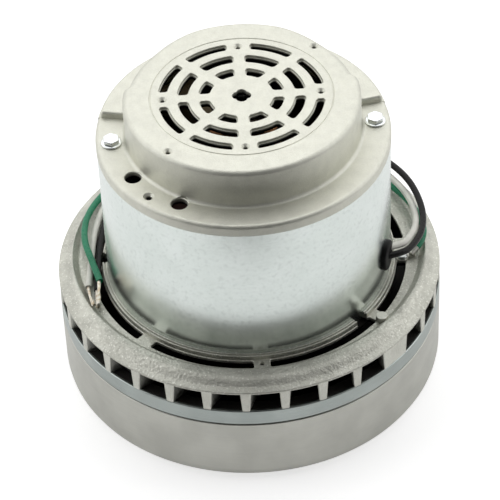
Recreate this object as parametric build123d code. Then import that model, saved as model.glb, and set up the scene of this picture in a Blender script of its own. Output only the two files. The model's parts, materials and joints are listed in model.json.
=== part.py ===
from build123d import *

import math
import os

# Vacuum motor unit: single-stage fan, side discharge, motor cooled through the top grille.
# Millimetres, +Z up, origin at the centre of the flat base. The viewer looks from -Y.
# Azimuths are degrees counter-clockwise from +X, seen from above.

# Driving sizes of the outside
fan_shell_radius = 91.5
fan_shell_height = 36.8
band_height = 8.9
vent_height = 10.5
motor_shell_radius = 67.8
motor_shell_length = 76.6
flange_rise = 5.6
dome_radius = 54.4
dome_height = 19.6

# Fits shared by every piece
seat_gap = 0.04
running_gap = 0.08
air_gap = 0.6
overrun = 1.0

# Fan shell, a spun steel cup
fan_shell_wall = 1.5
fan_shell_corner = 7.5
inlet_eye_radius = 22.2
inlet_lip_height = 4.5
inlet_lip_bevel = 0.9
fan_shell_inner_bevel = 3.6
shell_edge_break = 0.4

# Clamp band and the joint below it
band_joint_gap = 0.3

# Fan bracket, one aluminium die casting
base_ring_wall = 6.0
base_ring_overlap = 5.8
vent_floor_clearance = 0.2
diffuser_radius = 78.4
diffuser_wall = 2.4
deck_height = 37.0
deck_thickness = 2.6
bearing_hub_wall = 3.5
bearing_hub_lip = 1.5
bearing_hub_lip_radius = 12.5
lip_edge_height = 1.1
channel_floor_rise = 1.5
channel_floor_thickness = 3.0
crown_rise = 4.8
crown_inner_radius = 75.2
crown_shoulder_radius = 84.8
crown_edge_radius = 88.3
crown_edge_rise = 2.1
crown_inner_bevel = 0.8
crown_shoulder_bevel = 0.9
crown_edge_bevel = 0.7
vent_ceiling_step = 0.2
channel_offset = 5.8
channel_floor_radius = 81.8
channel_top_radius = 84.7
shell_ledge_width = 5.3
shell_ledge_thickness = 3.0
shell_ledge_drop = 0.5
foot_rim_wall = 0.9
foot_rim_groove = 0.6
foot_rim_rise = 2.4
foot_groove_depth = 0.9
slot_inner_radius = 70.2
slot_outer_radius = 75.2
slot_corner = 0.9
slot_spoke_azimuths = [-132.3, -86.9, -37.0, 0.5, 43.0, 88.0, 133.0, 180.0]
slot_spoke_widths = [8.3, 7.6, 6.3, 16.5, 7.6, 7.6, 7.6, 7.6]
rim_notch_azimuths = [-43.0, 178.5]
rim_notch_width = 7.0
rim_notch_inner_radius = 66.9
spoke_pit_azimuth = -86.9
spoke_pit_length = 3.2
spoke_pit_width = 2.0
spoke_pit_depth = 1.6
vent_count = 31
vent_pitch = 11.37
first_vent_azimuth = -48.5
vent_opening = 9.0
vane_sweep = 27.0
vane_camber = 0.9
vane_tip_width = 2.4
bolt_boss_radius = 5.0

# Motor shell, zinc-plated steel tube
motor_shell_wall = 1.2

# Lead opening in the motor shell, and its rubber grommet
lead_opening_azimuth = -20.0
lead_opening_height = 76.6
lead_opening_width = 9.8
lead_opening_length = 12.6
grommet_flange = 1.4
grommet_outer_thickness = 2.4
grommet_inner_thickness = 1.4

# End bracket, one aluminium die casting
bracket_wall = 3.2
rim_overhang = 0.2
rim_bevel = 1.2
spigot_length = 4.0
spigot_wall = 3.2
dome_edge_rounding = 2.2
dome_foot_bevel = 1.6
dome_ceiling_bevel = 1.4
raised_sector_start = 13.0
raised_sector_end = 169.3
raised_sector_rise = 3.4
raised_sector_inset = 1.0
raised_sector_bevel = 1.0
grille_azimuth = -89.0
grille_spokes = 8
grille_rings = [(34.1, 38.2), (24.4, 29.4), (14.6, 19.7)]
grille_wide_spoke = 10.8
grille_spoke = 5.2
grille_corner_share = 0.42
grille_groove_radius = 41.9
grille_groove_width = 0.7
grille_groove_depth = 0.35
hub_window_radius = 2.5
hub_window_offset = 1.8
dimple_circle_radius = 36.1
dimple_turn = 1.1
dimple_radius = 2.3
dimple_depth = 1.3
pilot_radius = 1.0
pilot_depth = 2.4
stray_dimples = [(50.2, -132.4), (48.4, 44.5)]
flange_hole_radius = 3.8
flange_hole_distance = 28.2
flange_hole_circle = 59.2
flange_hole_azimuth = -134.6
flange_hole_pocket = 3.6
countersink_circle = 62.2
countersink_azimuth = -134.3
countersink_radius = 2.4
countersink_hole_radius = 1.4
bearing_cup_wall = 3.5
bearing_cup_length = 11.0
brush_pad_thickness = 3.5
brush_pad_length = 9.2
brush_pad_sweep = 36.0

# Long screws that clamp the two brackets on the motor shell
screw_circle_radius = 60.8
screw_azimuths = [0.9, -174.0]
screw_shank_radius = 2.1
screw_washer_radius = 4.8
screw_washer_thickness = 0.9
screw_pocket_gap = 0.4
screw_pocket_height = 4.4
screw_hex_across_flats = 7.0
screw_head_height = 3.1
screw_head_break = 0.5
screw_engagement = 11.0

# Stator and field coils
stator_height = 83.0
stack_length = 32.0
yoke_wall = 13.5
pole_width = 34.0
pole_shoe_thickness = 4.0
pole_shoe_sweep = 116.0
coil_sweep = 104.0
coil_clearance = 0.4
coil_end_height = 7.0
coil_corner = 4.0

# Armature
armature_radius = 29.2
armature_slots = 12
armature_slot_width = 3.4
armature_slot_depth = 9.0
winding_clearance = 0.2
winding_end_length = 7.0
winding_end_inset = 2.5
commutator_radius = 16.0
commutator_length = 18.0
commutator_gap = 1.0
commutator_bars = 24
commutator_slit = 0.6
commutator_slit_depth = 0.6

# Shaft and bearings
shaft_radius = 6.0
lower_bearing_radius = 15.0
lower_bearing_bore = 5.0
lower_bearing_width = 9.0
upper_bearing_radius = 11.0
upper_bearing_bore = 4.0
upper_bearing_width = 7.0
bearing_race_wall = 2.4
bearing_shield_gap = 0.3
shaft_neck_radius = 5.2
shaft_shoulder = 1.2
wave_washer_thickness = 0.6
wave_washer_width = 2.0
retainer_radius = 25.0
retainer_thickness = 1.2
retainer_screw_circle = 21.0
retainer_screws_count = 3
retainer_screw_radius = 1.7
retainer_head_radius = 3.2
retainer_head_height = 1.6
retainer_screw_length = 2.2

# Cooling fan on the shaft, above the deck
cooling_fan_radius = 52.0
cooling_fan_height = 49.5
cooling_fan_plate = 1.6
cooling_blade_count = 11
cooling_blade_height = 7.5
cooling_blade_thickness = 1.5
cooling_blade_inner_radius = 22.0
cooling_hub_radius = 11.0

# Impeller, riveted sheet aluminium
impeller_radius = 72.0
impeller_sheet = 1.2
impeller_drop = 5.8
impeller_eye_radius = 24.0
impeller_eye_height = 7.2
impeller_eye_collar = 3.0
impeller_rim_height = 15.5
impeller_blade_count = 9
impeller_blade_wrap = 62.0
impeller_blade_inner_radius = 26.0
impeller_blade_margin = 1.0
impeller_washer_radius = 12.0
impeller_washer_thickness = 2.0
impeller_nut_across_flats = 15.0
impeller_nut_height = 7.0
shaft_thread_stand_out = 2.0

# Brush gear
brush_azimuths = {"left": 135.0, "right": -45.0}
brush_width = 6.4
brush_depth = 11.0
brush_end_room = 4.07
brush_height = 130.0
brush_spring_radius = 2.4
brush_spring_bore = 1.0
brush_spring_width = 5.0
brush_spring_gap = 0.05
holder_wall = 1.8
holder_commutator_gap = 3.0
holder_dome_gap = 1.6
holder_end_wall = 1.6
holder_ear_width = 7.0
holder_ear_thickness = 2.2
holder_ear_length = 9.0
holder_screw_radius = 1.3
holder_head_radius = 2.4
holder_head_height = 1.4
holder_screw_length = 2.6
brush_lead_radius = 1.1
brush_lead_bend = 4.0

# Leads
lead_radius = 1.6
strand_radius = 0.8
earth_eye_radius = 3.0
earth_eye_hole_radius = 1.6
earth_eye_thickness = 0.8
earth_eye_circle = 73.4
earth_eye_azimuth = -4.2
earth_barrel_radius = 1.5
earth_barrel_length = 4.6
earth_strap_rise = 1.3
earth_screw_head_radius = 2.5
earth_screw_head_height = 1.5
earth_screw_length = 2.4

# Levels that follow from the sizes above
band_top = fan_shell_height + band_height
vent_top = band_top + vent_height
channel_floor = vent_top + channel_floor_rise
crown_top = vent_top + crown_rise
shell_foot = vent_top - shell_ledge_drop
shell_top = shell_foot + motor_shell_length
flange_top = shell_top + flange_rise
dome_top = flange_top + dome_height
motor_shell_bore = motor_shell_radius - motor_shell_wall
base_ring_radius = fan_shell_radius - fan_shell_wall
bracket_rim_radius = motor_shell_radius + rim_overhang
deck_top = deck_height + deck_thickness
lower_bearing_base = deck_height - bearing_hub_lip / 3
lower_bearing_top = lower_bearing_base + lower_bearing_width
stack_top = stator_height + stack_length
dome_ceiling = dome_top - bracket_wall
flange_ceiling = flange_top - bracket_wall
upper_bearing_base = dome_ceiling - bearing_cup_length + running_gap
upper_bearing_top = upper_bearing_base + upper_bearing_width
commutator_base = stack_top + winding_end_length + commutator_gap
commutator_top = commutator_base + commutator_length
impeller_top = deck_height - impeller_drop
impeller_seat = impeller_top - impeller_sheet
impeller_nut_base = impeller_seat - impeller_washer_thickness - impeller_nut_height
shaft_end = impeller_nut_base - shaft_thread_stand_out
screw_tip = shell_foot - screw_engagement
brush_inner_radius = commutator_radius + running_gap
holder_inner_radius = commutator_radius + holder_commutator_gap
holder_outer_radius = dome_radius - bracket_wall - holder_dome_gap
brush_spring_end = holder_outer_radius - holder_end_wall - brush_end_room
brush_outer_radius = brush_spring_end - 2 * brush_spring_radius - brush_spring_gap
brush_pad_inner_radius = dome_radius - bracket_wall - brush_pad_length


def polar(radius, azimuth, height=0):
    """The point at a radius, a direction and a height."""
    turn = math.radians(azimuth)
    return Vector(radius * math.cos(turn), radius * math.sin(turn), height)


def raised(sketch, bottom, top):
    """A sketch raised from one level to another."""
    return extrude(Pos(0, 0, bottom) * sketch, top - bottom)


def disc(radius, bottom, top):
    return raised(Circle(radius), bottom, top)


def ring(outer, inner, bottom, top):
    return raised(Circle(outer) - Circle(inner), bottom, top)


def turned(*corners):
    """A solid of revolution about Z.

    Each corner is (radius, height), (radius, height, rounding) or (radius, height, -bevel).
    """
    places = [Vector(corner[0], 0, corner[1]) for corner in corners]
    sizes = [corner[2] if len(corner) > 2 else 0 for corner in corners]
    points = []
    roundings = []
    for index, (place, size) in enumerate(zip(places, sizes)):
        if size < 0:
            before = (places[index - 1] - place).normalized()
            after = (places[(index + 1) % len(places)] - place).normalized()
            points += [place - before * size, place - after * size]
            roundings += [0, 0]
        else:
            points.append(place)
            roundings.append(size)
    outline = FilletPolyline(*points, radius=roundings, close=True)
    return revolve(make_face(outline), Axis.Z)


def arc_window(inner, outer, start, sweep, corner):
    """An outline between two radii and two directions, with rounded corners."""
    edges = [
        CenterArc((0, 0), inner, start, sweep),
        CenterArc((0, 0), outer, start, sweep),
        Line(polar(inner, start), polar(outer, start)),
        Line(polar(inner, start + sweep), polar(outer, start + sweep)),
    ]
    window = make_face(edges)
    return fillet(window.vertices(), corner) if corner else window


def stadium(width, length):
    """An upright slot outline, its length along the sketch's Y."""
    return Rot(0, 0, 90) * SlotOverall(length, width)


def facing(azimuth, height):
    """A plane on the axis that looks outwards: X to the side, Y up, Z along the direction."""
    return Plane(origin=(0, 0, height), x_dir=polar(1, azimuth + 90), z_dir=polar(1, azimuth))


def standing_screw(shank, length, head, head_height, head_break):
    """A round-headed screw that points down, the underside of its head at zero."""
    body = raised(Circle(shank), -length, 0)
    cap = raised(Circle(head), 0, head_height)
    cap = chamfer(cap.edges().group_by(Axis.Z)[-1], head_break)
    return body + cap


def along(path, radius):
    """A round tube along a path."""
    start = path @ 0
    section = Plane(origin=start, z_dir=path % 0) * Circle(radius)
    return sweep(section, path=path)


def lead_path(route):
    """Straight runs joined by arcs, each arc as large as its two runs allow."""
    points = [Vector(*point) for point in route]
    runs = [b - a for a, b in zip(points, points[1:])]
    radii = []
    for before, after in zip(runs, runs[1:]):
        turn = math.radians(before.get_angle(after))
        shorter = min(before.length, after.length)
        radii.append(lead_arc_share * shorter / math.tan(turn / 2))
    return FilletPolyline(*points, radius=radii), radii


# An arc takes this share of the shorter of its two runs
lead_arc_share = 0.45

# Routes of the three leads: radius, azimuth and height of each corner, from the exit to the stripped end
black_route = [
    (62.6, -24.0, 76.2),
    (74.8, -17.2, 75.6),
    (79.2, -10.2, 73.4),
    (84.0, 0.5, 71.2),
    (86.6, 13.0, 70.4),
    (88.4, 28.0, 70.4),
    (88.8, 47.0, 68.0),
    (86.4, 68.0, 65.6),
    (80.6, 90.0, 65.2),
    (76.4, 112.0, 62.8),
    (77.0, 132.0, 59.7),
    (77.6, 149.0, 59.6),
    (73.4, 165.0, 59.6),
    (72.2, 180.0, 59.6),
    (75.4, 196.5, 60.0),
]
white_route = [
    (62.8, -20.9, 79.8),
    (73.8, -14.2, 77.0),
    (76.9, -7.6, 75.0),
    (80.3, 1.0, 71.5),
    (82.6, 11.0, 68.4),
    (84.4, 24.0, 66.8),
    (85.4, 42.0, 64.6),
    (82.6, 62.0, 61.4),
    (80.2, 83.0, 59.6),
    (80.8, 105.0, 59.6),
    (82.4, 127.0, 59.6),
    (82.0, 147.0, 59.6),
    (77.6, 164.0, 59.7),
    (75.6, 180.0, 59.8),
    (79.0, 194.5, 60.8),
]
green_route = [
    (80.4, -1.5, 61.0),
    (83.4, 0.8, 62.3),
    (85.6, 7.0, 63.2),
    (85.4, 19.0, 62.2),
    (84.2, 33.0, 60.4),
    (85.4, 52.0, 59.6),
    (86.8, 73.0, 59.6),
    (87.2, 95.0, 59.6),
    (86.8, 117.0, 59.6),
    (86.4, 137.0, 60.0),
    (84.8, 156.0, 61.8),
    (80.6, 171.0, 63.8),
    (75.0, 184.0, 64.4),
    (73.2, 194.4, 63.2),
]
strand_routes = [
    [(75.4, 196.5, 60.0), (77.2, 200.3, 60.1), (79.0, 204.6, 60.2)],
    [(79.0, 194.5, 60.8), (80.2, 199.0, 61.3), (80.7, 204.0, 61.7)],
    [(73.2, 194.4, 63.2), (75.6, 200.2, 62.4), (79.1, 205.2, 62.7)],
]


def placed(route):
    return [polar(*corner) for corner in route]


def make_fan_shell():
    floor = fan_shell_wall
    cup = turned(
        (inlet_eye_radius, 0, -inlet_lip_bevel),
        (fan_shell_radius, 0, fan_shell_corner),
        (fan_shell_radius, fan_shell_height),
        (fan_shell_radius - fan_shell_wall, fan_shell_height),
        (fan_shell_radius - fan_shell_wall, floor, -fan_shell_inner_bevel),
        (inlet_eye_radius + fan_shell_wall, floor, -inlet_lip_bevel),
        (inlet_eye_radius + fan_shell_wall, inlet_lip_height),
        (inlet_eye_radius, inlet_lip_height),
    )
    rim = cup.edges().filter_by(GeomType.CIRCLE).group_by(Axis.Z)[-1].sort_by(SortBy.RADIUS)[-1]
    return chamfer(rim, shell_edge_break)


def make_clamp_band():
    return turned(
        (base_ring_radius + seat_gap, fan_shell_height + band_joint_gap),
        (fan_shell_radius - shell_edge_break, fan_shell_height + band_joint_gap),
        (fan_shell_radius, fan_shell_height + band_joint_gap + shell_edge_break),
        (fan_shell_radius, band_top - shell_edge_break),
        (fan_shell_radius - shell_edge_break, band_top),
        (base_ring_radius + seat_gap, band_top),
    )


def vane_outline(azimuth, tip, root):
    """One swept vane in plan, from its outer tip to the diffuser wall, both sides cambered."""
    reach = fan_shell_radius + overrun
    inner = diffuser_radius - diffuser_wall / 2
    shift = (reach - inner) * math.tan(math.radians(vane_sweep))
    outer_turn = math.degrees(tip / 2 / reach)
    inner_turn = math.degrees(root / 2 / inner)
    inner_azimuth = azimuth + math.degrees(shift / inner)
    corners = [
        polar(reach, azimuth - outer_turn),
        polar(inner, inner_azimuth - inner_turn),
        polar(inner, inner_azimuth + inner_turn),
        polar(reach, azimuth + outer_turn),
    ]
    side = (corners[1] - corners[0]).normalized()
    bulge = Vector(-side.Y, side.X) * vane_camber
    edges = [
        ThreePointArc(corners[0], (corners[0] + corners[1]) / 2 + bulge, corners[1]),
        Line(corners[1], corners[2]),
        ThreePointArc(corners[2], (corners[2] + corners[3]) / 2 + bulge, corners[3]),
        Line(corners[3], corners[0]),
    ]
    return make_face(edges)


def make_vane(azimuth, tip, root):
    return raised(vane_outline(azimuth, tip, root), deck_height, vent_top + overrun)


def make_vanes():
    solid_turn = vent_pitch - vent_opening
    tip = math.radians(solid_turn) * fan_shell_radius
    vanes = []
    for index in range(vent_count - 1):
        azimuth = first_vent_azimuth - index * vent_pitch - vent_opening - solid_turn / 2
        vanes.append(make_vane(azimuth, tip, vane_tip_width))
    block_end = first_vent_azimuth + 360 - vent_count * vent_pitch + solid_turn
    block_turn = block_end - first_vent_azimuth
    block_tip = math.radians(block_turn) * fan_shell_radius
    block_root = math.radians(block_turn) * diffuser_radius
    vanes.append(make_vane((first_vent_azimuth + block_end) / 2, block_tip, block_root))
    return vanes


def vane_envelope():
    """The ring of space that the vanes fill, narrower inside the base ring than above it."""
    inner = diffuser_radius - diffuser_wall / 2
    step = base_ring_radius - base_ring_wall / 2
    return turned(
        (inner, deck_height),
        (step, deck_height),
        (step, band_top - vent_floor_clearance),
        (fan_shell_radius - shell_edge_break / 2, band_top + vent_ceiling_step),
        (fan_shell_radius - shell_edge_break / 2, vent_top + vent_ceiling_step),
        (inner, vent_top + vent_ceiling_step),
    )


def make_crown():
    """The ring above the vents with the shell's ledge, the foot rims and the lead channel's floor."""
    seat = motor_shell_radius + seat_gap
    rim_top = channel_floor + foot_rim_rise
    rim_one = seat + foot_rim_wall
    groove_end = rim_one + foot_rim_groove
    ledge_inner = motor_shell_radius - shell_ledge_width
    floor_under = channel_floor - channel_floor_thickness
    wall_inner = diffuser_radius - diffuser_wall
    edge = fan_shell_radius - shell_edge_break / 2
    return turned(
        (ledge_inner, shell_foot - shell_ledge_thickness),
        (ledge_inner, shell_foot),
        (seat, shell_foot),
        (seat, rim_top),
        (rim_one, rim_top),
        (rim_one, rim_top - foot_groove_depth),
        (groove_end, rim_top - foot_groove_depth),
        (groove_end, rim_top),
        (slot_inner_radius, rim_top),
        (slot_inner_radius, channel_floor),
        (crown_inner_radius, channel_floor),
        (crown_inner_radius, crown_top, -crown_inner_bevel),
        (crown_shoulder_radius, crown_top, -crown_shoulder_bevel),
        (crown_edge_radius, vent_top + crown_edge_rise, -crown_edge_bevel),
        (edge, vent_top + lip_edge_height),
        (edge, vent_top),
        (diffuser_radius, vent_top),
        (diffuser_radius, deck_height),
        (wall_inner, deck_height),
        (wall_inner, floor_under),
        (slot_inner_radius, floor_under),
        (motor_shell_radius, shell_foot - shell_ledge_thickness),
    )


def make_deck():
    """The wall between the fan and the motor, with the lower bearing's cup."""
    cup = lower_bearing_radius + seat_gap
    hub = cup + bearing_hub_wall
    return turned(
        (cup, lower_bearing_base),
        (hub, lower_bearing_base),
        (hub, deck_height),
        (diffuser_radius - diffuser_wall / 2, deck_height),
        (diffuser_radius - diffuser_wall / 2, deck_top),
        (hub + bearing_hub_wall, deck_top),
        (hub, lower_bearing_top),
        (hub - bearing_hub_lip, lower_bearing_top + bearing_hub_lip),
        (bearing_hub_lip_radius, lower_bearing_top + bearing_hub_lip),
        (bearing_hub_lip_radius, lower_bearing_top),
        (cup, lower_bearing_top),
    )


def cooling_slots():
    """The windows in the channel floor, between the spokes."""
    windows = Sketch() + (Circle(slot_outer_radius) - Circle(slot_inner_radius))
    reach = fan_shell_radius
    for azimuth, width in zip(slot_spoke_azimuths, slot_spoke_widths):
        windows -= Rot(0, 0, azimuth) * Pos(reach / 2, 0) * Rectangle(reach, width)
    return Sketch() + [fillet(face.vertices(), slot_corner) for face in windows.faces()]


def make_fan_bracket():
    base_ring = ring(
        base_ring_radius,
        base_ring_radius - base_ring_wall,
        fan_shell_height - base_ring_overlap,
        band_top - vent_floor_clearance,
    )
    vanes = [vane & vane_envelope() for vane in make_vanes()]
    casting = make_crown() + make_deck() + [base_ring] + vanes
    for azimuth in screw_azimuths:
        boss = Pos(*polar(screw_circle_radius, azimuth)) * disc(bolt_boss_radius, deck_height, shell_foot)
        casting += boss
    channel_sections = []
    for height in (channel_floor, crown_top + overrun):
        section = Pos(0, channel_offset, height) * Circle(channel_wall_radius_at(height))
        channel_sections.append(section.faces()[0])
    channel = loft(channel_sections, ruled=True)
    channel -= disc(slot_inner_radius, channel_floor - overrun, crown_top + 2 * overrun)
    casting -= channel
    casting -= raised(cooling_slots(), channel_floor - channel_floor_thickness - overrun, crown_top + overrun)
    notch_middle = (rim_notch_inner_radius + slot_outer_radius) / 2
    notch_length = slot_outer_radius - rim_notch_inner_radius
    for azimuth in rim_notch_azimuths:
        notch = Rot(0, 0, azimuth) * Pos(notch_middle, 0) * Rectangle(notch_length, rim_notch_width)
        casting -= raised(notch, shell_foot, crown_top)
    pit_place = Rot(0, 0, spoke_pit_azimuth) * Pos((slot_inner_radius + slot_outer_radius) / 2, 0)
    pit = pit_place * SlotOverall(spoke_pit_length, spoke_pit_width)
    casting -= raised(pit, channel_floor - spoke_pit_depth, channel_floor + overrun)
    for azimuth in screw_azimuths:
        hole = Pos(*polar(screw_circle_radius, azimuth)) * disc(
            screw_shank_radius + seat_gap, screw_tip - overrun, shell_foot + overrun
        )
        casting -= hole
    eye = polar(earth_eye_circle, earth_eye_azimuth)
    earth_hole_radius = earth_eye_hole_radius - seat_gap * 2
    earth_hole_bottom = channel_floor - earth_screw_length
    casting -= Pos(*eye) * disc(earth_hole_radius, earth_hole_bottom, channel_floor + overrun)
    for index in range(retainer_screws_count):
        spot = polar(retainer_screw_circle, retainer_screw_azimuth(index))
        casting -= Pos(*spot) * disc(
            retainer_screw_radius + seat_gap, deck_height - overrun, deck_height + retainer_screw_length
        )
    return casting


def channel_wall_radius_at(height):
    """The lead channel widens upwards along a straight slope."""
    slope = (channel_top_radius - channel_floor_radius) / (crown_top - channel_floor)
    return channel_floor_radius + slope * (height - channel_floor)


def retainer_screw_azimuth(index):
    return 90 + index * 360 / retainer_screws_count


def make_motor_shell():
    shell = ring(motor_shell_radius, motor_shell_bore, shell_foot, shell_top)
    face = facing(lead_opening_azimuth, lead_opening_height)
    opening = face * stadium(lead_opening_width, lead_opening_length)
    return shell - extrude(opening, fan_shell_radius)


def dome_profile():
    """The casting's outside above the motor shell: rim, flange, dome wall and rounded top."""
    inner_dome = dome_radius - bracket_wall
    inner_rim = motor_shell_bore - seat_gap - spigot_wall
    return (
        (inner_rim, shell_top - spigot_length),
        (motor_shell_bore - seat_gap, shell_top - spigot_length),
        (motor_shell_bore - seat_gap, shell_top),
        (bracket_rim_radius, shell_top),
        (bracket_rim_radius, flange_top, -rim_bevel),
        (dome_radius, flange_top, -dome_foot_bevel),
        (dome_radius, dome_top, dome_edge_rounding),
        (0, dome_top),
        (0, dome_ceiling),
        (inner_dome, dome_ceiling, -dome_ceiling_bevel),
        (inner_dome, flange_ceiling),
        (inner_rim, flange_ceiling),
    )


def grille_windows():
    """Three rings of arc windows between eight spokes."""
    windows = Sketch()
    for place, (inner, outer) in enumerate(grille_rings):
        band = Sketch() + (Circle(outer) - Circle(inner))
        for spoke in range(grille_spokes):
            wide = place == 0 and spoke % 2 == 0
            width = grille_wide_spoke if wide else grille_spoke
            turn = grille_azimuth + spoke * 360 / grille_spokes
            band -= Rot(0, 0, turn) * Pos(dome_radius / 2, 0) * Rectangle(dome_radius, width)
        corner = grille_corner_share * (outer - inner)
        windows += [fillet(face.vertices(), corner) for face in band.faces()]
    return windows


def flange_hole_spots():
    """The two plain holes in the flange, side by side on a chord."""
    middle = polar(flange_hole_circle, flange_hole_azimuth) * flange_chord_share()
    across = polar(flange_hole_distance / 2, flange_hole_azimuth + 90)
    return [middle - across, middle + across]


def flange_chord_share():
    half = flange_hole_distance / 2
    return math.sqrt(flange_hole_circle**2 - half**2) / flange_hole_circle


def dimple(spot):
    """A drilled dimple with a small pilot at its bottom."""
    cone = Cone(0, dimple_radius, dimple_depth, align=(Align.CENTER, Align.CENTER, Align.MAX))
    return Pos(*spot) * Pos(0, 0, dome_top) * cone


def make_end_bracket():
    casting = turned(*dome_profile())
    raised_top = flange_top + raised_sector_rise
    step = turned(
        (dome_radius - bracket_wall / 2, flange_top - bracket_wall / 2),
        (bracket_rim_radius - raised_sector_inset, flange_top - bracket_wall / 2),
        (bracket_rim_radius - raised_sector_inset, raised_top, -raised_sector_bevel),
        (dome_radius, raised_top, -dome_foot_bevel),
        (dome_radius, raised_top + dome_foot_bevel * 2),
        (dome_radius - bracket_wall / 2, raised_top + dome_foot_bevel * 2),
    )
    sweep_angle = raised_sector_end - raised_sector_start
    sector = arc_window(bracket_wall, fan_shell_radius, raised_sector_start, sweep_angle, 0)
    casting += step & raised(sector, flange_top - bracket_wall, dome_top)

    cup_inner = upper_bearing_radius + seat_gap
    cup_base = dome_ceiling - bearing_cup_length
    casting += ring(cup_inner + bearing_cup_wall, cup_inner, cup_base, dome_ceiling + bracket_wall / 2)
    for azimuth in brush_azimuths.values():
        start = azimuth - brush_pad_sweep / 2
        pad = arc_window(brush_pad_inner_radius, dome_radius - bracket_wall / 2, start, brush_pad_sweep, 0)
        casting += raised(pad, holder_top(), holder_top() + brush_pad_thickness)

    casting -= raised(grille_windows(), dome_ceiling - overrun, dome_top + overrun)
    groove_outer = grille_groove_radius + grille_groove_width / 2
    groove_inner = grille_groove_radius - grille_groove_width / 2
    casting -= ring(groove_outer, groove_inner, dome_top - grille_groove_depth, dome_top + overrun)
    clover = Sketch() + Circle(hub_window_radius)
    for turn in range(4):
        clover += Rot(0, 0, turn * 90) * Pos(hub_window_offset, 0) * Circle(hub_window_radius)
    casting -= raised(clover, dome_ceiling - overrun, dome_top + overrun)
    for index in range(4):
        spot = polar(dimple_circle_radius, index * 90 + dimple_turn)
        casting -= dimple(spot)
        casting -= Pos(*spot) * disc(pilot_radius, dome_top - pilot_depth, dome_top)
    for place in stray_dimples:
        casting -= dimple(polar(*place))

    hole_top = flange_top + flange_hole_pocket
    for spot in flange_hole_spots():
        casting -= Pos(*spot) * disc(flange_hole_radius, flange_ceiling - overrun, hole_top)
    spot = polar(countersink_circle, countersink_azimuth)
    casting -= Pos(*spot) * disc(countersink_hole_radius, flange_ceiling - overrun, flange_top + overrun)
    sink = countersink_radius - countersink_hole_radius
    casting -= Pos(spot.X, spot.Y, flange_top) * Cone(
        countersink_hole_radius, countersink_radius, sink, align=(Align.CENTER, Align.CENTER, Align.MAX)
    )
    for azimuth in screw_azimuths:
        spot = polar(screw_circle_radius, azimuth)
        hole_bottom = shell_top - spigot_length - overrun
        casting -= Pos(*spot) * disc(screw_shank_radius + running_gap, hole_bottom, flange_top + overrun)
        pocket = screw_washer_radius + screw_pocket_gap
        casting -= Pos(*spot) * disc(pocket, flange_top, flange_top + screw_pocket_height)
    thread_end = holder_top() + holder_screw_length + seat_gap
    for azimuth in brush_azimuths.values():
        for spot in holder_screw_spots(azimuth):
            casting -= Pos(*spot) * disc(holder_screw_radius + seat_gap, holder_top() - overrun, thread_end)
    return casting


def screw_head():
    """A hexagon head on its own washer, standing on zero."""
    washer = disc(screw_washer_radius, 0, screw_washer_thickness)
    hexagon = RegularPolygon(screw_hex_across_flats / 2, 6, major_radius=False)
    head = raised(hexagon, screw_washer_thickness, screw_head_height)
    corner_radius = screw_hex_across_flats / math.sqrt(3)
    crown = turned(
        (0, screw_washer_thickness - overrun),
        (corner_radius + overrun, screw_washer_thickness - overrun),
        (corner_radius + overrun, screw_head_height - screw_head_break - overrun / 2),
        (corner_radius - screw_head_break, screw_head_height),
        (0, screw_head_height),
    )
    return washer + (head & crown)


def make_housing_screws():
    screws = []
    for azimuth in screw_azimuths:
        spot = polar(screw_circle_radius, azimuth)
        shank = disc(screw_shank_radius, screw_tip, flange_top)
        head = Pos(0, 0, flange_top) * screw_head()
        screws.append(Pos(*spot) * (shank + head))
    return Compound(screws)


def make_stator_core():
    bore = armature_radius + air_gap
    yoke_inner = motor_shell_bore - yoke_wall
    profile = Sketch() + (Circle(motor_shell_bore - seat_gap) - Circle(yoke_inner))
    for side in (90, -90):
        pole_length = yoke_inner + yoke_wall / 2
        profile += Rot(0, 0, side) * Pos(pole_length / 2, 0) * Rectangle(pole_length, pole_width)
        start = side - pole_shoe_sweep / 2
        profile += arc_window(bore - overrun, bore + pole_shoe_thickness, start, pole_shoe_sweep, 0)
    profile -= Circle(bore)
    for azimuth in screw_azimuths:
        profile -= Pos(*polar(screw_circle_radius, azimuth)) * Circle(screw_shank_radius + running_gap * 4)
    return raised(profile, stator_height, stack_top)


def make_field_coil(side):
    bore = armature_radius + air_gap
    inner = bore + pole_shoe_thickness + coil_clearance
    outer = motor_shell_bore - yoke_wall - coil_clearance
    profile = arc_window(inner, outer, side - coil_sweep / 2, coil_sweep, coil_corner)
    coil = raised(profile, stator_height - coil_end_height, stack_top + coil_end_height)
    window = Rot(0, 0, side) * Pos(outer / 2, 0) * Rectangle(outer * 2, pole_width + 2 * coil_clearance)
    return coil - raised(window, stator_height - coil_clearance, stack_top + coil_clearance)


def holder_top():
    return brush_height + brush_depth / 2 + holder_wall


def holder_screw_spots(azimuth):
    """Two screws through the ears beside the holder's outer end."""
    offset = brush_width / 2 + holder_wall + holder_ear_width / 2
    reach = holder_outer_radius - holder_ear_length / 2
    forward = polar(reach, azimuth)
    across = polar(offset, azimuth + 90)
    return [forward - across, forward + across]


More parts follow.
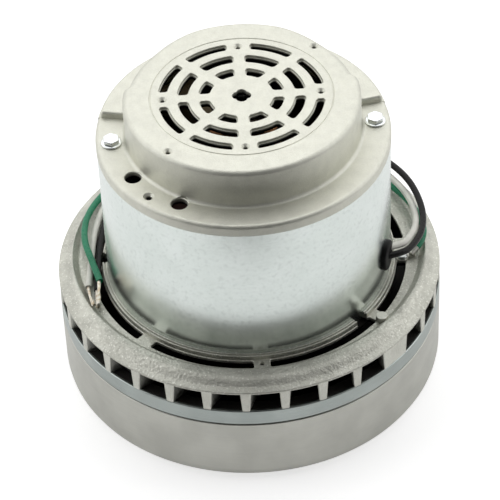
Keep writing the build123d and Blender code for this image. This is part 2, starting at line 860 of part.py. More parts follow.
def make_brush_holder(azimuth):
    """A square tube for one carbon brush, closed behind, with two screwed ears on top."""
    face = facing(azimuth, brush_height)
    outer_width = brush_width + 2 * holder_wall
    outer_depth = brush_depth + 2 * holder_wall
    length = holder_outer_radius - holder_inner_radius
    start = Plane(origin=face.origin + face.z_dir * holder_inner_radius, x_dir=face.x_dir, z_dir=face.z_dir)
    tube = extrude(start * Rectangle(outer_width, outer_depth), length)
    bore = Rectangle(brush_width + 2 * running_gap, brush_depth + 2 * running_gap)
    tube -= extrude(start * bore, length - holder_end_wall)
    ears = Rectangle(holder_ear_length, outer_width + 2 * holder_ear_width)
    ears = fillet(ears.vertices(), holder_ear_thickness)
    place = Rot(0, 0, azimuth) * Pos(holder_outer_radius - holder_ear_length / 2, 0)
    plate = raised(place * ears, holder_top() - holder_ear_thickness, holder_top())
    tube += plate - extrude(start * bore, length - holder_end_wall)
    ear_under = holder_top() - holder_ear_thickness
    for spot in holder_screw_spots(azimuth):
        tube -= Pos(*spot) * disc(holder_screw_radius + seat_gap, ear_under - overrun, holder_top() + overrun)
    return tube


def make_brush_holder_screws():
    screws = []
    for azimuth in brush_azimuths.values():
        for spot in holder_screw_spots(azimuth):
            screw = standing_screw(
                holder_screw_radius,
                holder_ear_thickness + holder_screw_length,
                holder_head_radius,
                holder_head_height,
                holder_head_height / 3,
            )
            level = holder_top() - holder_ear_thickness
            screws.append(Pos(spot.X, spot.Y, level) * Rot(180, 0, 0) * screw)
    return Compound(screws)


def make_carbon_brush(azimuth):
    face = facing(azimuth, brush_height)
    block = extrude(face * Rectangle(brush_width, brush_depth), brush_outer_radius)
    return block - disc(brush_inner_radius, brush_height - brush_depth, brush_height + brush_depth)


def make_brush_spring(azimuth):
    """The rolled strip spring that pushes the brush, as one plain roll behind it."""
    reach = brush_outer_radius + brush_spring_gap + brush_spring_radius
    roll = Circle(brush_spring_radius) - Circle(brush_spring_bore)
    centre = polar(reach, azimuth, brush_height)
    axis = Plane(origin=centre, x_dir=polar(1, azimuth), z_dir=polar(1, azimuth + 90))
    return extrude(axis * roll, brush_spring_width / 2, both=True)


def make_brush_leads():
    """The two red leads from the brush holders down to the field coils."""
    leads = []
    coil_top = stack_top + coil_end_height
    for azimuth in brush_azimuths.values():
        reach = holder_outer_radius - holder_ear_length
        side = brush_width / 2 + holder_wall + brush_lead_radius + running_gap
        across = polar(side, azimuth - 90)
        rise = brush_height
        start = polar(reach - brush_lead_bend * 3, azimuth, rise) + across
        corner = polar(reach - brush_lead_bend, azimuth, rise) + across
        end = Vector(corner.X, corner.Y, coil_top)
        path = FilletPolyline(start, corner, end, radius=brush_lead_bend * lead_arc_share * 2)
        leads.append(along(path, brush_lead_radius))
    return Compound(leads)


def bearing_race(outer, bore, base, top):
    """Outer race and shields of a ball bearing; they reach close to the inner race."""
    inner_race = bore + bearing_race_wall
    return ring(outer, inner_race + bearing_shield_gap, base, top)


def make_bearing_retainer():
    inner = bearing_hub_lip_radius
    plate = ring(retainer_radius, inner, lower_bearing_base - retainer_thickness, lower_bearing_base)
    for index in range(retainer_screws_count):
        spot = polar(retainer_screw_circle, retainer_screw_azimuth(index))
        hole_bottom = lower_bearing_base - retainer_thickness - overrun
        plate -= Pos(*spot) * disc(retainer_screw_radius + seat_gap, hole_bottom, deck_height)
    return plate


def make_retainer_screws():
    screws = []
    level = lower_bearing_base - retainer_thickness
    for index in range(retainer_screws_count):
        spot = polar(retainer_screw_circle, retainer_screw_azimuth(index))
        length = deck_height + retainer_screw_length - seat_gap - level
        screw = standing_screw(
            retainer_screw_radius,
            length,
            retainer_head_radius,
            retainer_head_height,
            retainer_head_height / 3,
        )
        screws.append(Pos(spot.X, spot.Y, level) * Rot(180, 0, 0) * screw)
    return Compound(screws)


def make_motor_shaft():
    """A stepped shaft: fan thread, lower bearing, body, neck and upper bearing seats."""
    low = lower_bearing_bore - seat_gap
    high = upper_bearing_bore - seat_gap
    break_edge = shaft_shoulder / 2
    return turned(
        (0, shaft_end),
        (low - break_edge, shaft_end),
        (low, shaft_end + break_edge),
        (low, lower_bearing_top),
        (shaft_radius - seat_gap, lower_bearing_top),
        (shaft_radius - seat_gap, commutator_top),
        (shaft_neck_radius, commutator_top),
        (shaft_neck_radius, upper_bearing_base),
        (high, upper_bearing_base),
        (high, upper_bearing_top + break_edge),
        (high - break_edge, upper_bearing_top + shaft_shoulder),
        (0, upper_bearing_top + shaft_shoulder),
    )


def armature_slot(width, depth, outer):
    """One winding slot, open at the armature's rim."""
    return Pos(outer - depth / 2, 0) * Rectangle(depth, width)


def make_armature_core():
    profile = Sketch() + (Circle(armature_radius) - Circle(shaft_radius))
    for index in range(armature_slots):
        turn = index * 360 / armature_slots
        slot = armature_slot(armature_slot_width, armature_slot_depth + overrun, armature_radius + overrun)
        profile -= Rot(0, 0, turn) * slot
    return raised(profile, stator_height, stack_top)


def make_armature_winding():
    """Wire in the slots, joined by the end turns above and below the stack."""
    width = armature_slot_width - 2 * winding_clearance
    depth = armature_slot_depth - 2 * winding_clearance
    outer = armature_radius - winding_clearance
    turns = outer - winding_end_inset
    hub = shaft_radius + winding_end_inset
    low = ring(turns, hub, stator_height - winding_end_length, stator_height - seat_gap)
    high = ring(turns, hub, stack_top + seat_gap, stack_top + winding_end_length)
    winding = low + high
    bars = Sketch()
    for index in range(armature_slots):
        turn = index * 360 / armature_slots
        bars += Rot(0, 0, turn) * armature_slot(width, depth, outer)
    winding += raised(bars, stator_height - winding_end_inset, stack_top + winding_end_inset)
    return winding


def make_commutator():
    body = ring(commutator_radius, shaft_radius, commutator_base, commutator_top)
    slit = Pos(commutator_radius, 0) * Rectangle(commutator_slit_depth * 2, commutator_slit)
    slits = Sketch()
    for index in range(commutator_bars):
        slits += Rot(0, 0, (index + 0.5) * 360 / commutator_bars) * slit
    return body - raised(slits, commutator_base - overrun, commutator_top + overrun)


def make_cooling_fan():
    """A plate with a hub and straight radial blades on top."""
    plate_top = cooling_fan_height + cooling_fan_plate
    fan = ring(cooling_fan_radius, shaft_radius, cooling_fan_height, plate_top)
    fan += ring(cooling_hub_radius, shaft_radius, cooling_fan_height, plate_top + cooling_blade_height)
    length = cooling_fan_radius - cooling_blade_inner_radius
    middle = (cooling_fan_radius + cooling_blade_inner_radius) / 2
    blades = Sketch()
    for index in range(cooling_blade_count):
        turn = index * 360 / cooling_blade_count
        blades += Rot(0, 0, turn) * Pos(middle, 0) * Rectangle(length, cooling_blade_thickness)
    blades = raised(blades, plate_top - cooling_fan_plate / 2, plate_top + cooling_blade_height)
    return fan + (blades & disc(cooling_fan_radius, cooling_fan_height, plate_top + cooling_blade_height))


def make_impeller_backplate():
    return ring(impeller_radius, lower_bearing_bore, impeller_seat, impeller_top)


def make_impeller_shroud():
    return turned(
        (impeller_eye_radius, impeller_eye_height - impeller_eye_collar),
        (impeller_eye_radius, impeller_eye_height + impeller_sheet),
        (impeller_radius, impeller_rim_height + impeller_sheet),
        (impeller_radius, impeller_rim_height),
        (impeller_eye_radius + impeller_sheet, impeller_eye_height),
        (impeller_eye_radius + impeller_sheet, impeller_eye_height - impeller_eye_collar),
    )


def impeller_blade_outline():
    """One backward-curved blade in plan: two arcs about one sheet apart."""
    inner = impeller_blade_inner_radius
    outer = impeller_radius - impeller_blade_margin
    middle = polar((inner + outer) / 2, impeller_blade_wrap * blade_middle_share)
    start = polar(inner, 0)
    end = polar(outer, impeller_blade_wrap)
    arc = ThreePointArc(start, middle, end)
    return make_face(offset_2d_strip(arc))


# The share of the wrap that a blade has made halfway out
blade_middle_share = 0.42


def offset_2d_strip(arc):
    """A closed strip one sheet wide along an arc."""
    centre = arc.arc_center
    edges = []
    ends = []
    for side in (-impeller_sheet / 2, impeller_sheet / 2):
        points = []
        for share in (0, 0.5, 1):
            point = arc @ share
            outward = (point - centre).normalized()
            points.append(point + outward * side)
        edges.append(ThreePointArc(*points))
        ends.append(points)
    edges.append(Line(ends[0][0], ends[1][0]))
    edges.append(Line(ends[0][2], ends[1][2]))
    return edges


def make_impeller_blades():
    gap = seat_gap
    space = turned(
        (impeller_eye_radius, impeller_eye_height + impeller_sheet + gap),
        (impeller_radius, impeller_rim_height + impeller_sheet + gap),
        (impeller_radius, impeller_seat - gap),
        (impeller_eye_radius, impeller_seat - gap),
    )
    blades = []
    for index in range(impeller_blade_count):
        turn = index * 360 / impeller_blade_count
        blade = raised(Rot(0, 0, turn) * impeller_blade_outline(), impeller_eye_height, impeller_top)
        blades.append((blade & space).solids()[0])
    return Compound(blades)


def make_impeller_nut():
    hexagon = RegularPolygon(impeller_nut_across_flats / 2, 6, major_radius=False)
    nut = hexagon - Circle(lower_bearing_bore)
    return raised(nut, impeller_nut_base, impeller_nut_base + impeller_nut_height)


def lead_bore(route):
    """The straight hole that a lead's first run makes in the grommet."""
    start = polar(*route[0])
    direction = (polar(*route[1]) - start).normalized()
    reach = motor_shell_radius - motor_shell_bore + grommet_outer_thickness + grommet_inner_thickness
    hole = Plane(origin=start - direction * reach * 2, z_dir=direction) * Circle(lead_radius + seat_gap)
    return extrude(hole, reach * 6)


def make_lead_grommet():
    face = facing(lead_opening_azimuth, lead_opening_height)
    flange_width = lead_opening_width + 2 * grommet_flange
    flange_length = lead_opening_length + 2 * grommet_flange
    reach = fan_shell_radius
    outer_radius = motor_shell_radius + grommet_outer_thickness
    inner_radius = motor_shell_bore - grommet_inner_thickness
    low = lead_opening_height - flange_length
    high = lead_opening_height + flange_length
    flange = extrude(face * stadium(flange_width, flange_length), reach)
    neck_outline = stadium(lead_opening_width - 2 * seat_gap, lead_opening_length - 2 * seat_gap)
    neck = extrude(face * neck_outline, reach)
    lip_outline = stadium(lead_opening_width + grommet_flange, lead_opening_length - grommet_flange / 2)
    lip = extrude(face * lip_outline, reach)
    grommet = neck & ring(motor_shell_radius + grommet_outer_thickness / 2, inner_radius, low, high)
    grommet += flange & ring(outer_radius, motor_shell_radius + seat_gap, low, high)
    grommet += lip & ring(motor_shell_bore - seat_gap, inner_radius, low, high)
    for route in (black_route, white_route):
        grommet -= lead_bore(route)
    return grommet


def make_earth_terminal():
    """A ring tongue under its screw, with the crimped barrel that takes the green lead."""
    eye = polar(earth_eye_circle, earth_eye_azimuth, channel_floor)
    lead_start = polar(*green_route[0])
    direction = (polar(*green_route[1]) - lead_start).normalized()
    barrel_start = lead_start - direction * earth_barrel_length
    barrel_section = Plane(origin=barrel_start, z_dir=direction) * Circle(earth_barrel_radius)
    barrel = extrude(barrel_section, earth_barrel_length)
    tongue = Pos(*eye) * disc(earth_eye_radius, 0, earth_eye_thickness)
    middle = (barrel_start + lead_start) / 2
    flat = Vector(middle.X - eye.X, middle.Y - eye.Y)
    strap_plane = Plane(origin=eye, x_dir=flat, z_dir=(0, 0, 1))
    strap = strap_plane * Pos(flat.length / 2, 0) * Rectangle(flat.length, earth_barrel_radius * 2)
    terminal = tongue + extrude(strap, earth_strap_rise) + barrel
    head_space = earth_screw_head_radius + running_gap * 2
    terminal -= Pos(*eye) * disc(head_space, earth_eye_thickness, earth_strap_rise + overrun)
    terminal -= Pos(*eye) * disc(earth_eye_hole_radius, -overrun, earth_eye_thickness + overrun)
    return terminal


def make_earth_screw():
    eye = polar(earth_eye_circle, earth_eye_azimuth, channel_floor + earth_eye_thickness)
    screw = standing_screw(
        earth_eye_hole_radius - 3 * seat_gap,
        earth_eye_thickness + earth_screw_length - seat_gap,
        earth_screw_head_radius,
        earth_screw_head_height,
        earth_screw_head_height / 3,
    )
    return Pos(*eye) * screw


def make_lead(name, route):
    path, radii = lead_path(placed(route))
    lead = along(path, lead_radius)
    expected = math.pi * lead_radius**2 * path.length
    print(name, "length", round(path.length, 1), "radii", [round(radius, 1) for radius in radii])
    print(name, "volume against section times length", round(lead.volume / expected, 4))
    return lead


def make_stripped_ends():
    strands = []
    for route in strand_routes:
        path = lead_path(placed(route))[0]
        strands.append(along(path, strand_radius).solids()[0])
    return Compound(strands)


def ring_on_shaft(bore, wall, base, width):
    return ring(bore + wall, bore, base, base + width)


parts = {
    "fan_shell": make_fan_shell(),
    "clamp_band": make_clamp_band(),
    "fan_bracket": make_fan_bracket(),
    "motor_shell": make_motor_shell(),
    "end_bracket": make_end_bracket(),
    "stator_core": make_stator_core(),
    "field_coil_front": make_field_coil(-90),
    "field_coil_rear": make_field_coil(90),
    "brush_holder_screws": make_brush_holder_screws(),
    "brush_leads": make_brush_leads(),
    "upper_bearing": bearing_race(
        upper_bearing_radius, upper_bearing_bore, upper_bearing_base, upper_bearing_top
    ),
    "wave_washer": ring(
        upper_bearing_radius - running_gap,
        upper_bearing_radius - wave_washer_width,
        upper_bearing_top + seat_gap,
        upper_bearing_top + wave_washer_thickness,
    ),
    "lower_bearing": bearing_race(
        lower_bearing_radius, lower_bearing_bore, lower_bearing_base, lower_bearing_top
    ),
    "bearing_retainer": make_bearing_retainer(),
    "retainer_screws": make_retainer_screws(),
    "housing_screws": make_housing_screws(),
    "lead_grommet": make_lead_grommet(),
    "black_lead": make_lead("black lead", black_route),
    "white_lead": make_lead("white lead", white_route),
    "green_lead": make_lead("green lead", green_route),
    "stripped_ends": make_stripped_ends(),
    "earth_terminal": make_earth_terminal(),
    "earth_screw": make_earth_screw(),
    "motor_shaft": make_motor_shaft(),
    "upper_bearing_inner_ring": ring_on_shaft(
        upper_bearing_bore, bearing_race_wall, upper_bearing_base, upper_bearing_width
    ),
    "lower_bearing_inner_ring": ring_on_shaft(
        lower_bearing_bore, bearing_race_wall, lower_bearing_base, lower_bearing_width
    ),
    "armature_core": make_armature_core(),
    "armature_winding": make_armature_winding(),
    "commutator": make_commutator(),
    "cooling_fan": make_cooling_fan(),
    "impeller_backplate": make_impeller_backplate(),
    "impeller_blades": make_impeller_blades(),
    "impeller_shroud": make_impeller_shroud(),
    "impeller_spacer": ring_on_shaft(
        lower_bearing_bore, bearing_race_wall, impeller_top, lower_bearing_base - impeller_top
    ),
    "impeller_washer": ring(
        impeller_washer_radius, lower_bearing_bore, impeller_seat - impeller_washer_thickness, impeller_seat
    ),
    "impeller_nut": make_impeller_nut(),
}
for side, azimuth in brush_azimuths.items():
    parts["brush_holder_" + side] = make_brush_holder(azimuth)
    parts["carbon_brush_" + side] = make_carbon_brush(azimuth)
    parts["brush_spring_" + side] = make_brush_spring(azimuth)

os.makedirs("parts", exist_ok=True)
for name, solid in parts.items():
    export_step(solid, f"parts/{name}.step")
print("nodes", len(parts), "top", round(dome_top, 2))
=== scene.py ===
# %% [markdown]
# # A vacuum motor unit
# The object is an upright brush motor on a suction fan. Its CAD model gives every size and place. This lesson builds
# finer meshes over it, with the roundings, draft and cast grain of the real piece, and leaves the hidden inner pieces
# as the CAD model made them.

# %% Frame
import json
import math

import bmesh
import bpy
from mathutils import Matrix, Vector


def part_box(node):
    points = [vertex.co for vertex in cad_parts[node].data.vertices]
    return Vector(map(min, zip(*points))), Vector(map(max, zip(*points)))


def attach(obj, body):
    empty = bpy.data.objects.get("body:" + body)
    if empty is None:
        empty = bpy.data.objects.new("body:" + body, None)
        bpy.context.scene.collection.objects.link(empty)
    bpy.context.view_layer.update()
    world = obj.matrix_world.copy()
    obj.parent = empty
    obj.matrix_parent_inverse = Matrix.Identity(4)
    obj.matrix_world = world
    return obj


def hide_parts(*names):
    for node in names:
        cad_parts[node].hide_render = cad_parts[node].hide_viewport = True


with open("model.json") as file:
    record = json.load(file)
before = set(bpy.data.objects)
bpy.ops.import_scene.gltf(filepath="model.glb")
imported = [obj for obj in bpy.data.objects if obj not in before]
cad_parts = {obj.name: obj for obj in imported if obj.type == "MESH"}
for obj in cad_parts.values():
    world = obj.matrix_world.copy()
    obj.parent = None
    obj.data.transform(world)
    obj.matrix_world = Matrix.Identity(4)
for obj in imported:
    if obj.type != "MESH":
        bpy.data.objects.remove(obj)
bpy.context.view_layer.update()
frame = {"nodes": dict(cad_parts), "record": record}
mm = 0.001

# %% [markdown]
# ## Levels and radii
# The unit is a stack of round pieces on one axis, so a few radii and levels place everything. They are read from the
# CAD nodes. Azimuths are degrees counter-clockwise from +X, seen from above, and the viewer looks from -Y.

# %% Sizes from the frame
def node_radius(node):
    return round(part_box(node)[1][0], 4)


def node_top(node):
    return round(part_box(node)[1][2], 4)


def node_foot(node):
    return round(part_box(node)[0][2], 4)


fan_radius = node_radius("fan_shell")
shell_radius = node_radius("motor_shell")
joint_level = node_top("fan_shell")
band_top = node_top("clamp_band")
crown_top = node_top("fan_bracket")
shell_foot = node_foot("motor_shell")
shell_top = node_top("motor_shell")
dome_top = node_top("end_bracket")
print("fan radius", fan_radius, "shell radius", shell_radius, "levels", joint_level, band_top, crown_top, dome_top)

# %% [markdown]
# ## Camera
# The photograph looks down at about 42 degrees with a long lens, tilted by a hair. The camera's axes are worked out
# from those angles and set as one matrix, which is simpler than turning an object step by step.

# %% Camera
view_elevation = math.radians(42.38)
view_roll = math.radians(-2.58)
view_distance = 1.2446
view_aim = Vector((0.66 * mm, 0, 62.2 * mm))
lens_length = 187.24


def new_object(name, data):
    """An object of the scene that holds this data."""
    item = bpy.data.objects.new(name, data)
    bpy.context.scene.collection.objects.link(item)
    return item


back = Vector((0, -math.cos(view_elevation), math.sin(view_elevation)))
right = Vector((1, 0, 0))
up = back.cross(right)
across = right * math.cos(view_roll) + up * math.sin(view_roll)
upward = up * math.cos(view_roll) - right * math.sin(view_roll)
camera_turn = Matrix((across, upward, back)).transposed().to_4x4()

camera = new_object("camera", bpy.data.cameras.new("camera"))
camera.data.lens = lens_length
camera.data.clip_start = 0.05
camera.matrix_world = Matrix.Translation(view_aim + back * view_distance) @ camera_turn
bpy.context.scene.camera = camera
print("camera at", [round(x, 3) for x in camera.matrix_world.translation])

# %% [markdown]
# ## How a finish is made
# Each finish is one Principled shader with noise on the object's own coordinates. A picture wrapped round a piece
# would have to be unwrapped and blurs up close, while noise stays sharp. One helper adds a node and fills its inputs.
# The others add what nearly every real surface has: grain that catches the light, patches of colour, and roughness
# that isn't even.

# %% Nodes and shaders
def add_node(tree, kind, inputs, **settings):
    """A new node; each of its inputs takes a value or another node's output."""
    node = tree.nodes.new(kind)
    for name, value in settings.items():
        setattr(node, name, value)
    for name, value in inputs.items():
        if isinstance(value, bpy.types.NodeSocket):
            tree.links.new(value, node.inputs[name])
        else:
            node.inputs[name].default_value = value
    return node


def new_finish(name, colour, metallic, roughness):
    """A material with its shader; the colour is linear."""
    finish = bpy.data.materials.new(name)
    finish.use_nodes = True
    finish.diffuse_color = (*colour, 1)
    shader = finish.node_tree.nodes["Principled BSDF"]
    for label, value in (("Base Color", (*colour, 1)), ("Metallic", metallic), ("Roughness", roughness)):
        shader.inputs[label].default_value = value
    return finish


def set_input(finish, name, value):
    """Links a node's output to one of the shader's inputs."""
    finish.node_tree.links.new(value, finish.node_tree.nodes["Principled BSDF"].inputs[name])


print("shader helpers ready")

# %% Noise and ranges
def noise(finish, stretch, detail=4.0, seed=0.0):
    """Noise on object coordinates; stretch is its cells in a metre, one number or one for each axis."""
    if not isinstance(stretch, tuple):
        stretch = (stretch, stretch, stretch)
    tree = finish.node_tree
    place = tree.nodes.new("ShaderNodeTexCoord").outputs["Object"]
    mapping = add_node(tree, "ShaderNodeMapping", {
        "Vector": place, "Location": (seed, seed, seed), "Scale": stretch})
    texture = add_node(tree, "ShaderNodeTexNoise", {
        "Vector": mapping.outputs["Vector"], "Scale": 1.0, "Detail": detail})
    return texture.outputs["Fac"]


def remap(owner, value, low, high, out_low=0.0, out_high=1.0):
    """The range from low to high of a value, laid on the one from out_low to out_high."""
    return add_node(owner.node_tree, "ShaderNodeMapRange", {
        "Value": value, "From Min": low, "From Max": high, "To Min": out_low, "To Max": out_high}).outputs["Result"]


print("noise and range helpers ready")

# %% Colours and bump
def blend_colour(finish, share, under, over):
    """From the colour under to the one over by the share; the one under may be a node's output."""
    if isinstance(under, tuple):
        under = (*under, 1)
    return add_node(finish.node_tree, "ShaderNodeMix", {
        "Factor": share, "A": under, "B": (*over, 1)}, data_type="RGBA").outputs["Result"]


def add_bump(finish, height, strength, distance):
    bump = add_node(finish.node_tree, "ShaderNodeBump", {
        "Height": height, "Strength": strength, "Distance": distance})
    set_input(finish, "Normal", bump.outputs["Normal"])


def shaded(colour, share):
    """The same colour, darker."""
    return tuple(part * share for part in colour)


print("colour and bump helpers ready")

# %% [markdown]
# ## Lead insulation
# Appliance wire has a soft plastic cover, pressed on hot, with a faint sheen and very fine ripples. The ripples could
# be modelled, but they are far smaller than a pixel. Mild noise in roughness, colour and bump gives the same look.

# %% Lead finishes
def insulation_finish(name, colour, roughness, gloss):
    finish = new_finish(name, colour, 0.0, roughness)
    finish.node_tree.nodes["Principled BSDF"].inputs["Specular IOR Level"].default_value = gloss
    ripples = noise(finish, 900, 2.0)
    shade = remap(finish, noise(finish, 120, 3.0, 4.0), 0.3, 0.7)
    set_input(finish, "Roughness", remap(finish, ripples, 0.3, 0.7, roughness - 0.06, roughness + 0.08))
    set_input(finish, "Base Color", blend_colour(finish, shade, shaded(colour, 0.82), colour))
    add_bump(finish, ripples, 0.15, 0.05 * mm)
    return finish


black_insulation = insulation_finish("black insulation", (0.006, 0.0055, 0.005), 0.30, 0.22)
white_insulation = insulation_finish("white insulation", (0.86, 0.85, 0.77), 0.42, 0.5)
green_insulation = insulation_finish("green insulation", (0.010, 0.25, 0.12), 0.30, 0.4)
print("insulation in black, white and green")

# %% [markdown]
# ## The three leads
# Each lead is a fixed length of limp wire that leaves the motor at the right, goes round behind it in the crown's
# channel and ends at the left with bare strands. A tube could be swept by hand, but a NURBS curve of order three with
# a round bevel follows the same route as the CAD tube and bends as evenly as real wire.

# %% Lead routes
# Corners of each route as radius in millimetres, azimuth in degrees and height in millimetres.
black_route = [
    (62.6, -24.0, 76.2), (74.8, -17.2, 75.6), (79.2, -10.2, 73.4), (84.0, 0.5, 71.2), (86.6, 13.0, 70.4),
    (88.4, 28.0, 70.4), (88.8, 47.0, 68.0), (86.4, 68.0, 65.6), (80.6, 90.0, 65.2), (76.4, 112.0, 62.8),
    (77.0, 132.0, 59.7), (77.6, 149.0, 59.6), (73.4, 165.0, 59.6), (72.2, 180.0, 59.6), (75.4, 196.5, 60.0),
]
white_route = [
    (62.8, -20.9, 79.8), (73.8, -14.2, 77.0), (76.9, -7.6, 75.0), (80.3, 1.0, 71.5), (82.6, 11.0, 68.4),
    (84.4, 24.0, 66.8), (85.4, 42.0, 64.6), (82.6, 62.0, 61.4), (80.2, 83.0, 59.6), (80.8, 105.0, 59.6),
    (82.4, 127.0, 59.6), (82.0, 147.0, 59.6), (77.6, 164.0, 59.7), (75.6, 180.0, 59.8), (79.0, 194.5, 60.8),
]
green_route = [
    (80.4, -1.5, 61.0), (83.4, 0.8, 62.3), (85.6, 7.0, 63.2), (85.4, 19.0, 62.2), (84.2, 33.0, 60.4),
    (85.4, 52.0, 59.6), (86.8, 73.0, 59.6), (87.2, 95.0, 59.6), (86.8, 117.0, 59.6), (86.4, 137.0, 60.0),
    (84.8, 156.0, 61.8), (80.6, 171.0, 63.8), (75.0, 184.0, 64.4), (73.2, 194.4, 63.2),
]
print("route corners", len(black_route), len(white_route), len(green_route))

# %% Route points and curves
def polar(radius, azimuth, height=0.0):
    """The point at a radius, a direction in degrees and a height."""
    turn = math.radians(azimuth)
    return Vector((radius * math.cos(turn), radius * math.sin(turn), height))


def route_point(corner):
    return polar(corner[0] * mm, corner[1], corner[2] * mm)


def nurbs_curve(name, route):
    """A smooth open curve whose control points are the route's corners."""
    curve = bpy.data.curves.new(name, "CURVE")
    curve.dimensions = "3D"
    curve.resolution_u = 10
    spline = curve.splines.new("NURBS")
    spline.points.add(len(route) - 1)
    for point, corner in zip(spline.points, route):
        point.co = (*route_point(corner), 1)
    spline.order_u = 3
    spline.use_endpoint_u = True
    return new_object(name, curve)


print("the black lead leaves at", [round(x, 4) for x in route_point(black_route[0])])

# %% Leads along their routes
lead_radius = 1.6 * mm


def make_lead(name, route, finish):
    lead = nurbs_curve(name, route)
    lead.data.bevel_depth = lead_radius
    lead.data.bevel_resolution = 7
    lead.data.use_fill_caps = True
    lead.data.materials.append(finish)
    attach(lead, "housing")
    return lead


black_wire = make_lead("black_wire", black_route, black_insulation)
white_wire = make_lead("white_wire", white_route, white_insulation)
green_wire = make_lead("green_wire", green_route, green_insulation)
print("leads", [piece.name for piece in (black_wire, white_wire, green_wire)])

# %% [markdown]
# ## Bare strands
# The end of each lead is stripped, and its fine wires twist round one another and fan out a little. Ten wires could be
# drawn one by one, but they follow a rule. A Geometry Nodes tree copies the end's curve once for each wire, moves each
# copy out along the curve's own normal, turned by the copy's number and by the way along, and gives it a round section.

# %% Tree inputs, maths and ends
def new_tree(name, sizes):
    """A Geometry Nodes tree with a geometry input, named number inputs and a material input."""
    tree = bpy.data.node_groups.new(name, "GeometryNodeTree")
    for label, kind in [("Geometry", "Geometry"), *sizes, ("Finish", "Material")]:
        tree.interface.new_socket(label, in_out="INPUT", socket_type="NodeSocket" + kind)
    tree.interface.new_socket("Geometry", in_out="OUTPUT", socket_type="NodeSocketGeometry")
    return tree, tree.nodes.new("NodeGroupInput").outputs


def math_node(tree, operation, first, second=0.0):
    return add_node(tree, "ShaderNodeMath", {0: first, 1: second}, operation=operation).outputs["Value"]


def close_tree(tree, given, geometry):
    """Ends a tree in plain geometry with its material."""
    plain = add_node(tree, "GeometryNodeRealizeInstances", {"Geometry": geometry})
    painted = add_node(tree, "GeometryNodeSetMaterial", {
        "Geometry": plain.outputs["Geometry"], "Material": given["Finish"]})
    add_node(tree, "NodeGroupOutput", {"Geometry": painted.outputs["Geometry"]})
    print(tree.name, len(tree.nodes), "nodes")
    return tree


print("tree helpers ready")

# %% From a tree to a plain mesh
def identifier(tree, label):
    """The identifier of a tree's input with that name."""
    for item in tree.interface.items_tree:
        if item.item_type == "SOCKET" and item.in_out == "INPUT" and item.name == label:
            return item.identifier
    raise KeyError(label)


def evaluated_mesh(piece):
    """A new mesh as the piece's modifiers make it."""
    graph = bpy.context.evaluated_depsgraph_get()
    graph.update()
    return bpy.data.meshes.new_from_object(piece.evaluated_get(graph))


def grown(piece, tree, name, values):
    """The plain mesh that a tree makes of a piece; the piece itself goes."""
    modifier = piece.modifiers.new("tree", "NODES")
    modifier.node_group = tree
    for label, value in values.items():
        modifier[identifier(tree, label)] = value
    mesh = evaluated_mesh(piece)
    mesh.name = name
    bpy.data.objects.remove(piece)
    return new_object(name, mesh)


print("mesh helpers ready")

# %% Strand tree
path_steps = 28
wire_sides = 8
inner_wires = 0.3
inner_pull = 0.55


def strand_tree():
    """Twisted wires round a curve; the inner share of them runs closer to it."""
    tree, given = new_tree("twisted strands", [
        ("Wires", "Int"), ("Bundle Radius", "Float"), ("Wire Radius", "Float"), ("Turns", "Float"),
        ("Spread", "Float")])
    path = add_node(tree, "GeometryNodeResampleCurve", {"Curve": given["Geometry"], "Count": path_steps})
    copies = add_node(tree, "GeometryNodeDuplicateElements", {
        "Geometry": path.outputs["Curve"], "Amount": given["Wires"]}, domain="SPLINE")
    along = tree.nodes.new("GeometryNodeSplineParameter").outputs["Factor"]
    share = math_node(tree, "DIVIDE", copies.outputs["Duplicate Index"], given["Wires"])
    turn = math_node(tree, "ADD", share, math_node(tree, "MULTIPLY", along, given["Turns"]))
    outwards = add_node(tree, "ShaderNodeVectorRotate", {
        "Vector": tree.nodes.new("GeometryNodeInputNormal").outputs["Normal"],
        "Axis": tree.nodes.new("GeometryNodeInputTangent").outputs["Tangent"],
        "Angle": math_node(tree, "MULTIPLY", turn, 2 * math.pi)})
    flare = math_node(tree, "MULTIPLY", math_node(tree, "POWER", along, 3.0), given["Spread"])
    reach = math_node(tree, "MULTIPLY", math_node(tree, "ADD", flare, 1.0), given["Bundle Radius"])
    pull = math_node(tree, "MULTIPLY", math_node(tree, "LESS_THAN", share, inner_wires), inner_pull)
    reach = math_node(tree, "MULTIPLY", reach, math_node(tree, "SUBTRACT", 1.0, pull))
    offset = add_node(tree, "ShaderNodeVectorMath", {
        "Vector": outwards.outputs["Vector"], "Scale": reach}, operation="SCALE")
    wires = add_node(tree, "GeometryNodeSetPosition", {
        "Geometry": copies.outputs["Geometry"], "Offset": offset.outputs["Vector"]})
    section = add_node(tree, "GeometryNodeCurvePrimitiveCircle", {
        "Resolution": wire_sides, "Radius": given["Wire Radius"]})
    tubes = add_node(tree, "GeometryNodeCurveToMesh", {
        "Curve": wires.outputs["Geometry"], "Profile Curve": section.outputs["Curve"], "Fill Caps": True})
    return close_tree(tree, given, tubes.outputs["Mesh"])


twisted_strands = strand_tree()

# %% Strands
def strand_finish():
    """Tinned copper: pale metal with warm patches where the tin is thin."""
    finish = new_finish("tinned strands", (0.90, 0.86, 0.77), 1.0, 0.3)
    patches = remap(finish, noise(finish, 700, 3.0), 0.4, 0.65)
    set_input(finish, "Base Color", blend_colour(finish, patches, (0.80, 0.77, 0.70), (0.60, 0.50, 0.36)))
    return finish


